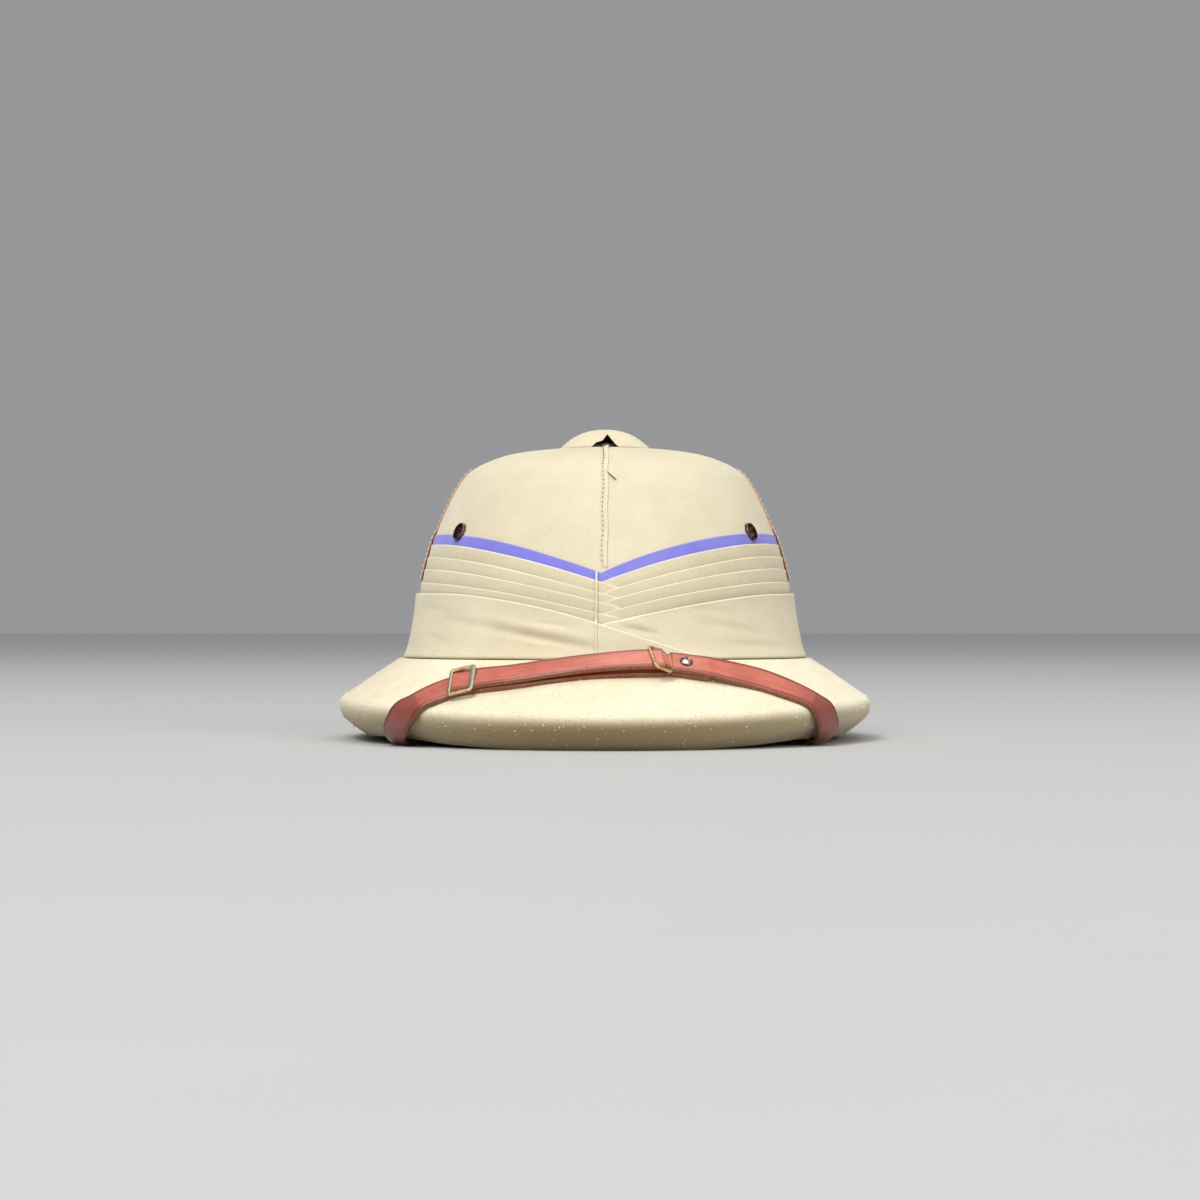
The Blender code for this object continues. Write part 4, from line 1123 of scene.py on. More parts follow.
@dataclass
class FoldedBand:
    """The wound band: a coloured fold, four cream folds and a wide lower wrap, crossing at the front.

    Each layer is one strip. It starts under the crossing at the front, goes round by the right side and the
    back, and its end comes over the crossing from the left.
    """

    form: CrownForm
    cloth: Material
    colour: Material
    cord_thread: Material
    crossing: float = -1.2
    thickness: float = 0.55 * MM
    foot: float = -0.7 * MM
    standing: float = 0.35 * MM
    side_press: float = 0.75 * MM
    tuck_depth: float = 7.5 * MM
    layer_lift: float = 0.55 * MM
    wrap_thickness: float = 0.9 * MM
    wrap_inner: float = 1.05 * MM
    wrap_lift: float = 1.15 * MM
    start_turn: float = -5.5
    end_turn: float = 6.5
    tail_slope: float = 0.61 * MM
    tail_end: float = 26.6

    def edge_height(self, layer: dict, path: Array) -> Array:
        """Height of a layer's top edge.

        Args:
            layer: A row of BAND_LAYERS.
            path: Degrees along the strip: 0 to 180 on the right half, and 180 to 360 and on for the left.

        Returns:
            Heights in metres.
        """
        rise = self.form.top - self.form.base
        left = path > 180
        turn = np.where(left, path - 360, path)
        away = np.radians(np.where(left, self.crossing - turn, turn - self.crossing))
        bow = np.where(left, layer["bow_left"], layer["bow_right"])
        near = np.clip(1 - np.sin(np.clip(away, 0, math.pi / 2)), 0, 1)
        front = layer["side"] - (layer["side"] - layer["front"]) * near ** bow
        behind = layer["back"] + (layer["side"] - layer["back"]) * np.sin(np.radians(turn)) ** 2
        share = np.where(np.abs(turn) <= 90, front, behind)
        slope = (layer["side"] - layer["front"]) * bow * rise
        past = np.minimum(away, 0.0)
        return self.form.base + rise * share + slope * past

    def standing_share(self, path: Array) -> Array:
        """How far a fold stands: fully, but flat where its two ends go under the crossing."""
        start = 0.10 + 0.90 * smooth(path, -3.4, 1.6)
        end = 0.10 + 0.90 * (1 - smooth(path, 361.0, 364.8))
        return start * end

    def lift(self, path: Array) -> Array:
        """Extra distance off the crown where layers lie over each other at the crossing."""
        left = smooth(path, 344.0, 353.0) * (1 - smooth(path, 362.8, 365.2))
        right = 0.8 * (1 - smooth(path, 8.5, 15.0)) * smooth(path, -0.5, 4.5)
        return self.layer_lift * (left + right)

    def build(self, drills: list[Object]) -> None:
        """Builds every layer and the cord.

        Args:
            drills: Cutters for the eyelets' holes, which go through the coloured fold.
        """
        for index, layer in enumerate(BAND_LAYERS[:-1]):
            self._fold(layer, index, drills if index == 0 else [])
        self._wrap()
        self._cord()

    def _path(self, start: float, end: float) -> Array:
        """Degrees along a strip, closer together near the crossing."""
        parts = (np.arange(start, 20, 0.5), np.arange(20, 340, 1.5), np.arange(340, end + 0.01, 0.5))
        return np.concatenate(parts)

    def _fold(self, layer: dict, index: int, drills: list[Object]) -> None:
        """One narrow fold with a rounded top edge."""
        path = self._path(self.start_turn, self.end_turn + 360)[:, None]
        turn = path % 360
        down = np.array([0.0, 0.3, 0.8, 1.4, 2.2, 3.2, 4.4, 5.8, 7.4, 9.2])[None, :] * MM
        sway = unevenness(turn, 0.0, seed=20 + index) * 0.35 * MM
        top = self.edge_height(layer, path) + sway
        from_side = 90 - np.degrees(np.arcsin(np.abs(np.sin(np.radians(turn)))))
        stand = self.standing + 0.15 * MM * unevenness(turn, 0.0, seed=40 + index)
        if index > 0:
            stand = stand - self.side_press * np.exp(-(from_side / 12) ** 2)
        share = 1 - smooth(down, 0.0, self.tuck_depth)
        if index == 0:
            share = share * 0.45
        off = self.foot + (stand - self.foot) * share * self.standing_share(path) + self.lift(path)
        roll = 0.28 * MM * np.exp(-(down / (0.7 * MM)) ** 2)
        outer = self.form.level_points(turn, top - down, off + self.thickness + roll)
        crest = self.form.level_points(turn, top + 0.38 * self.thickness, off[:, :1] + 0.55 * self.thickness)
        inner = self.form.level_points(turn, top - down[:, ::-1], off[:, ::-1])
        points = np.concatenate([crest, outer, inner], axis=1)
        # Painted highlight along the top edge, varying in strength round the band, and painted shade on the
        # body that tucks under the next fold; both weaker on the coloured fold
        highlight_vary = 0.5 + 0.5 * unevenness(turn, 0.0, seed=60 + index, waves=5)
        ridge = np.concatenate([[0.9, 0.95, 0.9, 0.3, 0.05], np.zeros(15), [0.6]])[None, :]
        shade = np.concatenate([np.zeros(6), [0.05, 0.15, 0.3, 0.5, 0.7], np.full(10, 0.9)])[None, :]
        masks = {"ridge": ridge * (0.65 + 0.35 * highlight_vary), "tuck": shade * 0.7}
        if index == 0:
            masks = {"ridge": ridge * 0.5, "tuck": shade * 0.3}
        fold = Sweep(points, masks=masks).build(layer["name"] + "_cloth")
        if drills:
            fold = cut_by(fold, drills)
        material, slot = (self.colour, "colour_cloth") if index == 0 else (self.cloth, "band_cloth")
        dress(fold, material, slot, layer["name"])

    def wrap_face(self, path: Array, height: Array, top: Array) -> tuple[Array, Array]:
        """The lower wrap's outer face: its distance off the crown, and the depth of its dents there."""
        turn = (path + 180) % 360 - 180
        base = self.form.base
        dents = sum(crease.depth_at(turn, height) for crease in WRAP_CREASES)
        soft = unevenness(turn, height * 2, seed=13) * 0.35 * MM * smooth(height, base, base + 5 * MM)
        started = np.where(path < 180, self.standing_share(path), 1.0)
        off = self.wrap_inner * started + self.wrap_lift * smooth(path, 342.0, 354.0) + self.wrap_thickness
        roll = 0.25 * MM * np.exp(-((top - height) / (0.7 * MM)) ** 2)
        hem = 0.5 * MM * np.exp(-((height - base) / (0.9 * MM)) ** 2)
        return np.maximum(off + soft - dents, 0.3 * MM) + roll - hem, dents

    def _wrap(self) -> None:
        """The wide lower turn, whose end runs down to the brim across the front."""
        layer = BAND_LAYERS[-1]
        path = self._path(self.start_turn, 360 + self.tail_end)[:, None]
        turn = path % 360
        base = self.form.base + 0.2 * MM + 0.35 * MM * unevenness(turn, 0.0, seed=77, waves=9)
        top = self.edge_height(layer, path)
        tail = self.form.base + (self.form.top - self.form.base) * layer["front"]
        tail = tail - self.tail_slope * (path - 360 - self.crossing)
        top = np.where(path > 360 + self.crossing, tail, top) + unevenness(turn, 0.0, seed=31) * 0.3 * MM
        top = np.maximum(top, base + 1.2 * MM)
        fine = np.array([0.0, 0.3, 0.8, 1.5, 2.6])[None, :] * MM * np.minimum(1.0, (top - base) / (8 * MM))
        body = 1 - (1 - np.linspace(0.0, 1.0, 34)[None, 1:]) ** 1.15
        start = top - fine[:, -1:]
        height = np.concatenate([top - fine, start - (start - base) * body], axis=1)
        face, dents = self.wrap_face(path, height, top)
        outer = self.form.level_points(turn, height, face)
        crest = self.form.level_points(turn, top + 0.3 * MM, face[:, :1] - 0.5 * self.wrap_thickness)
        back = np.maximum(face[:, ::-1] - self.wrap_thickness, 0.1 * MM)
        inner = self.form.level_points(turn, height[:, ::-1], back)
        count = height.shape[1]
        # Painted highlight along the top edge; painted shade at the hem against the brim, in the dents and on
        # the inner face
        ridge = np.concatenate([[0.9, 0.95, 0.9, 0.3, 0.05], np.zeros(2 * count - 5), [0.5]])[None, :]
        hem_shade = 0.9 * np.exp(-((height - base) / (0.7 * MM)) ** 2)
        dip = np.clip(dents / (1.5 * MM), 0, 1) * 0.3
        inside = np.full((len(path), count), 0.8)
        shade = np.concatenate([np.zeros_like(turn), np.maximum(hem_shade, dip), inside], axis=1)
        sweep = Sweep(np.concatenate([crest, outer, inner], axis=1), masks={"ridge": ridge, "tuck": shade})
        dress(sweep.build("lower_wrap_cloth"), self.cloth, "band_cloth", "lower_wrap")

    def _cord(self) -> None:
        """The twisted tacking cord down the front, over every layer."""
        low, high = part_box("front_cord")
        middle = (low.x + high.x) / 2
        path = 357.4
        height = np.linspace(self.form.base + 0.6 * MM, high.z + 0.4 * MM, 280)
        wrap_top = self.edge_height(BAND_LAYERS[-1], np.array([path]))
        folds = self.standing + self.layer_lift + self.thickness + 0.1 * MM
        face = self.wrap_face(np.full_like(height, path), height, wrap_top)[0]
        off = np.where(height < wrap_top + 0.6 * MM, face, folds)
        off = np.where(height > high.z - 0.8 * MM, 0.5 * folds, off) + 0.55 * MM
        off = np.convolve(np.pad(off, 5, mode="edge"), np.ones(11) / 11, mode="valid")
        half = self.form.section(self.form.share_at(height))[0]
        slant = (height - height.mean()) * 0.01
        turn = np.degrees(np.arcsin((middle + slant) / half))
        centre = self.form.level_points(turn, height, off)
        parts = []
        angle = np.arange(8) * math.tau / 8
        for strand in range(2):
            phase = height / (2.6 * MM) * math.tau + strand * math.pi
            shift = np.stack([np.cos(phase), np.sin(phase), np.zeros_like(phase)], -1) * 0.27 * MM
            ring = np.stack([np.cos(angle), np.sin(angle), np.zeros(8)], -1) * 0.42 * MM
            parts.append(Sweep((centre + shift)[:, None, :] + ring[None]).build(f"cord_strand_{strand}"))
        dress(joined("front_cord_twist", parts), self.cord_thread, "cover_cloth", "front_cord")


# Side bindings

@dataclass
class SideBindings:
    """The tan bindings over the side seams, with a row of stitches along each border."""

    form: CrownForm
    band: FoldedBand
    tan: Material
    thread: Material
    repeats: Repeats
    half_width: float = 8.0 * MM
    thickness: float = 0.8 * MM
    middle: float = 87.6

    def build(self) -> None:
        """Builds both bindings."""
        for side in Side:
            self._binding(side)

    def _binding(self, side: Side) -> None:
        """One binding from the lowest cream fold up to the shoulder."""
        name = f"side_binding_{side.name.lower()}"
        low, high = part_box(name)
        middle = self.middle * side.value
        path = np.array([middle % 360])
        fold_top = self.band.edge_height(BAND_LAYERS[0], path)[0]
        height = np.linspace(low.z, high.z, 80)[:, None]
        over = self.band.standing - self.band.side_press + self.band.thickness + 0.6 * MM
        off = over * (1 - smooth(height, fold_top - 1 * MM, fold_top + 6 * MM))
        length = self.form.half_width + self.form.length_extra
        across = np.array([-1.0, -1.0, -0.93, -0.6, 0.0, 0.6, 0.93, 1.0, 1.0, 0.6, 0.0, -0.6])[None, :]
        lift = np.array([0.0, 0.65, 1.0, 1.05, 1.1, 1.05, 1.0, 0.65, 0.0, 0.0, 0.0, 0.0])[None, :]
        turns = middle + np.degrees(across * self.half_width / length)
        share = self.form.share_at(height)
        points = self.form.points(turns, share, off + lift * self.thickness)
        # Painted shade along both borders, where the tape rolls down to the crown
        edge = np.array([0.4, 0.4, 0.2, 0.05, 0, 0.05, 0.2, 0.4, 0.4, 0, 0, 0])[None, :]
        binding = Sweep(points, masks={"tuck": edge}).build(name + "_tape")
        dress(binding, self.tan, "tan_binding", name)
        rows = []
        for edge_side in (-1, 1):
            place = middle + np.degrees(edge_side * 0.78 * self.half_width / length)
            line = self.form.points(np.full(80, place), share[:, 0], off[:, 0] + 1.05 * self.thickness)
            path = mesh_line(name + "_line", line[2:-2])
            row = self.repeats.make(f"{name}_stitches_{edge_side}", path, self.repeats.stitches, self.thread,
                                    Spacing=3.2 * MM, Length=2.3 * MM, Radius=0.24 * MM, Lean=0.06)
            rows.append(row)
            bpy.data.objects.remove(path)
        dress(joined(name + "_stitches", rows), self.thread, "tan_binding")


# Ventilator and eyelets

# The torn opening in the button: shares of half its width and of its height
DOOR_OUTLINE = (
    (1.12, -0.25), (-1.12, -0.25), (-0.99, 0.02), (-0.80, 0.20), (-0.64, 0.36), (-0.40, 0.42), (-0.18, 0.50),
    (-0.06, 0.68), (0.04, 0.86), (0.15, 1.00), (0.28, 0.88), (0.42, 0.66), (0.60, 0.44), (0.72, 0.26),
    (0.98, 0.02),
)


@dataclass
class Ventilator:
    """The cloth-covered button on top, with an opening at the front, and the ring under it."""

    cover: Material
    metal: Material
    cloth_thickness: float = 1.8 * MM
    door_width: float = 14.8 * MM
    door_height: float = 7.4 * MM
    sides: int = 144

    def build(self) -> None:
        """Builds the cap and the collar."""
        low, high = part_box("ventilator_cap")
        reach, rise, base = high.x, high.z - low.z, low.z
        radius = (reach ** 2 + rise ** 2) / (2 * rise)
        centre = base + rise - radius
        steps = np.linspace(0.012, 1.0, 26)
        outer_angle = math.asin(reach / radius)
        inner_radius = radius - self.cloth_thickness
        inner_angle = math.acos((base - centre) / inner_radius)
        across = np.sin(steps * outer_angle) * radius
        fuller = rise * (1 - (across / reach) ** 2.45) - rise + radius
        outer = list(zip(across.tolist(), fuller.tolist()))
        outer[-1] = (outer[-1][0] - 0.25 * MM, outer[-1][1])
        inner = [(inner_radius * math.sin(a), inner_radius * math.cos(a)) for a in steps[::-1] * inner_angle]
        sweep = turned(outer + inner, self.sides, UP * centre, UP)
        turn = np.arange(self.sides)[:, None] * 360 / self.sides
        near_rim = np.concatenate([steps, np.zeros(len(steps))])[None, :]
        pucker = unevenness(turn * 3, 0.0, seed=3) * 0.35 * MM * smooth(near_rim, 0.5, 1.0)
        sweep.points[..., 2] += pucker * (near_rim < 0.99)
        # Painted shade at the rim over the collar and on the cap's inner face
        tuck = np.concatenate([0.5 * smooth(steps, 0.955, 1.0), np.full(len(steps), 0.95)])
        sweep.masks = {"tuck": tuck[None, :]}
        cap = sweep.build("ventilator_cap_cover")
        rows = [[(x * self.door_width / 2, y, base + z * self.door_height) for x, z in DOOR_OUTLINE]
                for y in (-reach * 1.3, 0.0)]
        cutter = Sweep(np.array(rows)).build("door_cutter")
        dress(cut_by(cap, [cutter]), self.cover, "cover_cloth", "ventilator_cap")
        self._collar()

    def _collar(self) -> None:
        """The metal ring with a rolled rim."""
        low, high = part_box("ventilator_collar")
        outer, wall, lip = high.x, 0.6 * MM, 0.7 * MM
        roll = [(outer - lip + lip * math.cos(a), high.z - lip + lip * math.sin(a))
                for a in np.linspace(-0.3, 3.4, 14)]
        foot, inner = outer - 0.4 * MM, outer - 2 * wall - 0.2 * MM
        profile = [(foot, low.z), (foot, high.z - 2 * lip), *roll, (inner, high.z - 3 * lip), (inner, low.z)]
        ring = turned(profile, 96, Vector(), UP).build("ventilator_collar_ring")
        dress(ring, self.metal, "zinc", "ventilator_collar")


@dataclass
class Eyelets:
    """The two dark metal eyelets, which go through the crown at the band's top edge."""

    form: CrownForm
    metal: Material
    height: float = 111.2 * MM
    turn: float = 55.0
    flange: float = 4.9 * MM
    mouth: float = 4.1 * MM
    hole: float = 2.7 * MM
    barrel: float = 4.3 * MM
    drill: float = 4.5 * MM
    depth: float = 14.0 * MM
    back: float = 0.9 * MM
    lip: float = 0.8 * MM
    funnel: float = 3.4 * MM

    def seat(self, side: Side) -> tuple[Vector, Vector]:
        """Where an eyelet sits on the crown, and the direction that it faces."""
        share = float(self.form.share_at(self.height))
        turn = side.value * self.turn
        place = Vector(self.form.points(turn, share))
        along = Vector(self.form.points(turn + 1, share)) - Vector(self.form.points(turn - 1, share))
        up = Vector(self.form.points(turn, share + 0.01)) - Vector(self.form.points(turn, share - 0.01))
        return place, along.cross(up).normalized()

    def drills(self) -> list[Object]:
        """Cutters for the two holes through the crown."""
        made = []
        for side in Side:
            centre, axis = self.seat(side)
            inner, low, high = 0.01 * MM, -45 * MM, 6 * MM
            profile = [(inner, low), (self.drill, low), (self.drill, high), (inner, high)]
            made.append(turned(profile, 40, centre, axis).build("eyelet_drill"))
        return made

    def build(self) -> None:
        """Builds both eyelets with a rolled flange and a throat that funnels in."""
        for side in Side:
            centre, axis = self.seat(side)
            edge = self.lip / 2
            angles = np.linspace(-0.5 * math.pi, 0.5 * math.pi, 7)
            outer = [(self.flange - edge + edge * math.cos(a), self.back + edge + edge * math.sin(a))
                     for a in angles]
            front = self.back + self.lip
            funnel = [(self.hole + (self.mouth - self.hole) * math.cos(a), front - self.funnel * math.sin(a))
                      for a in np.linspace(0.0, 0.5 * math.pi, 9)]
            profile = [(self.barrel, -self.depth), (self.barrel, self.back), *outer, *funnel,
                       (self.hole, -self.depth)]
            sweep = turned(profile, 72, centre, axis)
            # Painted shade down the throat, near black deep in the hole
            soot = [0.0] * (5 + len(outer)) + [0.15, 0.4, 0.7, 0.9, 1.0, 1.0, 1.0]
            sweep.masks = {"plating": np.zeros((1, 1)), "soot": np.array([soot])}
            name = f"eyelet_{side.name.lower()}"
            dress(sweep.build(name + "_rolled"), self.metal, "dark_metal", name)


# Chin strap

# Routes of the strap's middle over the brim's top. turn: degrees. down: share of the way to the crease.
# lift: layers of leather under it. raise: millimetres that its upper border stands off, so that it leans out.
DOUBLED_ROUTE = table(
    "turn down lift raise",
    (13.6, 0.190, 0.0, 1.0), (5.0, 0.205, 0.0, 0.6), (-4.0, 0.245, 0.0, 0.4), (-13.0, 0.335, 0.0, 0.6),
    (-22.0, 0.455, 0.0, 1.2), (-28.5, 0.535, 0.0, 1.9), (-32.4, 0.600, 0.0, 2.4), (-35.2, 0.685, 0.0, 2.7),
    (-37.2, 0.790, 0.0, 2.9), (-39.3, 0.900, 0.0, 2.4), (-41.0, 1.000, 0.0, 1.7),
)
RETURN_ROUTE = table(
    "turn down lift raise",
    (13.6, 0.190, 1.9, 1.9), (5.0, 0.200, 1.85, 1.3), (-4.0, 0.240, 1.65, 0.7), (-13.0, 0.330, 1.45, 0.8),
    (-22.0, 0.450, 1.2, 1.3), (-28.5, 0.533, 1.1, 2.0), (-34.6, 0.660, 1.0, 2.7),
)
RIGHT_ROUTE = table(
    "turn down lift raise",
    (15.6, 0.190, 1.1, 1.6), (18.2, 0.208, 1.0, 1.6), (21.0, 0.245, 1.0, 1.8), (24.5, 0.295, 0.9, 2.3),
    (28.5, 0.355, 0.45, 3.0), (33.0, 0.440, 0.1, 3.6), (37.2, 0.550, 0.0, 3.8), (40.6, 0.690, 0.0, 3.6),
    (43.8, 0.840, 0.0, 2.8), (46.6, 1.000, 0.0, 1.8),
)
TAB_ROUTE = table(
    "turn down lift raise",
    (15.6, 0.190, 0.0, 1.2), (18.2, 0.208, 0.0, 1.4), (21.0, 0.245, 0.0, 1.6), (24.8, 0.300, 0.0, 2.1),
)

# The strap's way on from there. place: between the corners of the brim's outline, 1 at the crease's start,
# 3 at the foot, 5 at the opening. slide: share of the turn from where it leaves the top to its anchor.
# stand: millimetres that it hangs off the brim.
HIDDEN_ROUTE = table(
    "place slide stand raise",
    (1.30, 0.05, 0.8, 1.4), (1.60, 0.11, 1.3, 1.1), (2.00, 0.21, 2.1, 0.7), (2.40, 0.34, 2.7, 0.4),
    (2.75, 0.46, 2.2, 0.0), (3.00, 0.54, 0.4, 0.0), (4.00, 0.60, 0.0, 0.0), (4.50, 0.80, 0.0, 0.0),
    (5.00, 1.00, 0.0, 0.0), (5.80, 1.00, 0.0, 0.0),
)


@dataclass
class Lie:
    """How a strap lies along its length, as arrays: its place on the brim and how it stands off it."""

    turn: Array
    distance: Array
    down: Array
    lift: Array
    stand: Array
    raised: Array

    def at(self, old: Array, new: Array) -> Lie:
        """The same strap at other places along it."""
        return Lie(*(np.interp(new, old, values) for values in vars(self).values()))

    def then(self, other: Lie) -> Lie:
        """This length of strap, and another that follows it."""
        return Lie(*(np.concatenate(pair) for pair in zip(vars(self).values(), vars(other).values())))


@dataclass
class Seat:
    """A place on the strap: its middle, the way along, the way across and the way off the brim."""

    place: Vector
    run: Vector
    across: Vector
    normal: Vector

    def moved(self, shift: Vector) -> Seat:
        """The same seat at another place."""
        return replace(self, place=self.place + shift)

    def leaning(self, lean: float) -> Seat:
        """The same seat turned about the way along, by an angle in radians."""
        return replace(self, across=self.across * math.cos(lean) - self.normal * math.sin(lean),
                       normal=self.normal * math.cos(lean) + self.across * math.sin(lean))


@dataclass
class ChinStrap:
    """The leather strap over the brim, with its slide, wire loop, rivet and hidden anchors."""

    brim: BrimForm
    leather: Material
    brass: Material
    dark_metal: Material
    width: float = 12.8 * MM
    thickness: float = 2.15 * MM
    ring_step: float = 1.3 * MM
    anchor_turn: float = 64.0
    crease_swing: float = 0.55
    full_swing: float = 0.3
    frame_length: float = 11.4 * MM
    frame_bar: float = 1.7 * MM
    frame_room: float = 0.7 * MM
    rivet_shift: float = 0.02

    def build(self) -> None:
        """Builds the strap's two lengths and its metal."""
        left = self._strip("strap_under", DOUBLED_ROUTE, True)
        back = self._strip("strap_return", RETURN_ROUTE, False)
        bend = self._bend("strap_bend_left", DOUBLED_ROUTE, 0.0, RETURN_ROUTE[0]["lift"])
        dress(joined("chin_strap_doubled", [left, back, bend]), self.leather, "leather",
              "chin_strap_left", "chin_strap_top")
        right = self._strip("strap_over", RIGHT_ROUTE, True)
        tab = self._strip("strap_tab", TAB_ROUTE, False)
        fold = self._bend("strap_bend_right", TAB_ROUTE, 0.0, RIGHT_ROUTE[0]["lift"])
        dress(joined("chin_strap_riveted", [right, tab, fold]), self.leather, "leather", "chin_strap_right")
        self._slide()
        self._loop()
        self._rivet()
        self._anchors()

    def _route(self, route: tuple[dict, ...], share: Array) -> Lie:
        """How the strap lies at shares of a route over the brim's top."""
        turn, down, lift, raised = (smooth_column(route, share, column) for column in route[0])
        stand = 0.6 * MM * smooth(down, 0.6, 1.0)
        return Lie(turn, down * self.brim.distance_at(turn, 1.0), down, lift, stand, raised * MM)

    def _hidden(self, last: dict) -> Lie:
        """How the strap lies from the crease round the foot to its anchor."""
        target = math.copysign(self.anchor_turn, last["turn"])
        first = last["turn"]
        start = {"turn": first, "place": 1.0, "stand": 0.6, "raise": last["raise"]}
        rows = [start, *(row | {"turn": first + row["slide"] * (target - first)} for row in HIDDEN_ROUTE)]
        share = np.linspace(0.0, 1.0, 260)[1:]
        turn, place, stand, raised = (smooth_column(rows, share, column) for column in start)
        distance = np.array([self.brim.distance_at(np.array([t]), p)[0] for t, p in zip(turn, place)])
        none = np.zeros(len(turn))
        return Lie(turn, distance, none + 2.0, none, *(np.maximum(v, 0.0) * MM for v in (stand, raised)))

    def _centre_line(self, route: tuple[dict, ...], hidden: bool) -> Lie:
        """How the strap lies at even steps of its length."""
        lie = self._route(route, np.linspace(0.0, 1.0, 240))
        if hidden:
            lie = lie.then(self._hidden(route[-1]))
        middle = self.brim.points(lie.turn, lie.distance, GAP + lie.stand)
        so_far = np.concatenate([[0.0], np.cumsum(np.linalg.norm(np.diff(middle, axis=0), axis=1))])
        return lie.at(so_far, np.linspace(0.0, so_far[-1], int(so_far[-1] / self.ring_step)))

    def _half_steps(self, turn: Array, distance: Array, down: Array) -> tuple[Array, Array]:
        """Half the strap's width as steps of turn and distance: square to its route, more level low down."""
        face = self.brim.points
        by_turn = face(turn + 0.5, distance, 0.0) - face(turn - 0.5, distance, 0.0)
        by_distance = (face(turn, distance + MM, 0.0) - face(turn, distance - MM, 0.0)) / (2 * MM)
        run = by_turn * np.gradient(turn)[:, None] + by_distance * np.gradient(distance)[:, None]
        across = np.cross(unit(np.cross(by_turn, by_distance)), unit(run))
        hand = np.where((across * by_turn).sum(1) > 0, 1.0, -1.0)[:, None]
        hand[down > 1] = hand[down <= 1][-1] if (down <= 1).any() else 1.0
        level_way = unit(by_turn) * hand
        swing = self.full_swing * smooth(down, self.crease_swing, 1.0)[:, None]
        across = unit(across * (1 - swing) + level_way * swing) * (self.width / 2)
        return ((across * by_turn).sum(1) / (by_turn ** 2).sum(1),
                (across * by_distance).sum(1) / (by_distance ** 2).sum(1))

    def _strip(self, name: str, route: tuple[dict, ...], hidden: bool) -> Object:
        """A length of strap with rounded borders and cut edges."""
        lie = self._centre_line(route, hidden)
        turn_step, distance_step = self._half_steps(lie.turn, lie.distance, lie.down)
        lower = np.sign(distance_step)
        lower[lie.down > 1] = lower[lie.down <= 1][-1]
        side = np.array([-0.97, -1.0, -1.0, -0.975, -0.88, -0.80, -0.72, -0.4, 0.0, 0.4, 0.72, 0.80, 0.88,
                         0.975, 1.0, 1.0, 0.97, 0.5, 0.0, -0.5])
        level = np.array([0.0, 0.22, 0.72, 0.94, 1.02, 0.99, 1.04, 1.05, 1.05, 1.05, 1.04, 0.99, 1.02, 0.94,
                          0.72, 0.22, 0.0, 0.0, 0.0, 0.0])
        cut = np.array([0.7, 1, 0.9, 0.12, 0, 0, 0, 0, 0, 0, 0, 0, 0, 0.12, 0.9, 1, 0.7, 0.5, 0.5, 0.5])
        under = GAP + lie.stand + lie.lift * (self.thickness + GAP)
        columns = []
        for s, h in zip(side, level):
            lean = lie.raised * (1 - s * lower) / 2
            columns.append(self.brim.points(lie.turn + s * turn_step, lie.distance + s * distance_step,
                                            under + lean + h * self.thickness))
        ends = np.zeros(len(lie.turn))
        ends[[0, -1]] = 1.0
        points = np.stack(columns, axis=1)
        points[..., 2] = np.maximum(points[..., 2], 0.05 * MM)
        # The hang shade mask paints shade on the strap where it hangs down past the crease
        masks = {"across": ((side + 1) / 2)[None, :], "cut_edge": np.maximum(cut[None, :], ends[:, None]),
                 "grime": smooth(lie.down, 0.6, 1.4)[:, None]}
        return Sweep(points, masks=masks).build(name, sharp=60.0)

    def seat(self, route: tuple[dict, ...], share: float, off: float) -> Seat:
        """The place at a share of a route, a distance off the brim, with the strap's own lean."""
        lie = self._route(route, np.clip(np.array([share - 0.01, share, share + 0.01]), 0.0, 1.0))
        points = self.brim.points(lie.turn, lie.distance, np.full(3, off) + lie.raised / 2)
        higher = self.brim.points(lie.turn, lie.distance, np.full(3, off + MM) + lie.raised / 2)
        further = self.brim.points(lie.turn, lie.distance + MM, np.full(3, off) + lie.raised / 2)
        run = Vector(points[2] - points[0]).normalized()
        normal = Vector(higher[1] - points[1]).normalized()
        across = normal.cross(run).normalized()
        outwards = 1.0 if across.dot(Vector(further[1] - points[1])) > 0 else -1.0
        lean = math.asin(lie.raised[1] / self.width) * outwards
        return Seat(Vector(points[1]), run, across, normal).leaning(lean)

    def _bend(self, name: str, route: tuple[dict, ...], low_lift: float, high_lift: float) -> Object:
        """The turn of the strap round a bar, which joins its lower and upper layers."""
        seat = self.seat(route, 0.0, GAP)
        layer = self.thickness + GAP
        middle = (low_lift + high_lift) / 2 * layer + self.thickness / 2
        reach = (high_lift - low_lift) / 2 * layer
        outer, inner = reach + self.thickness / 2, reach - self.thickness / 2
        angles = np.linspace(-math.pi / 2, math.pi / 2, 15)
        side = np.array([-1.0, -1.0, -0.93, -0.5, 0.0, 0.5, 0.93, 1.0, 1.0, 0.5, 0.0, -0.5])
        level = np.array([0.1, 0.8, 1.0, 1.03, 1.04, 1.03, 1.0, 0.8, 0.1, 0.0, 0.0, 0.0])
        cut = np.array([1, 0.9, 0.1, 0, 0, 0, 0.1, 0.9, 1, 0.5, 0.5, 0.5])
        rows = []
        for angle in angles:
            away = -seat.run * math.cos(angle) + seat.normal * math.sin(angle)
            centre = seat.place + seat.normal * middle
            rows.append([centre + away * (inner + (outer - inner) * h) + seat.across * (s * self.width / 2)
                         for s, h in zip(side, level)])
        points = np.array([[tuple(p) for p in row] for row in rows])
        masks = {"across": ((side + 1) / 2)[None, :], "cut_edge": cut[None, :]}
        return Sweep(points, masks=masks).build(name, sharp=60.0)

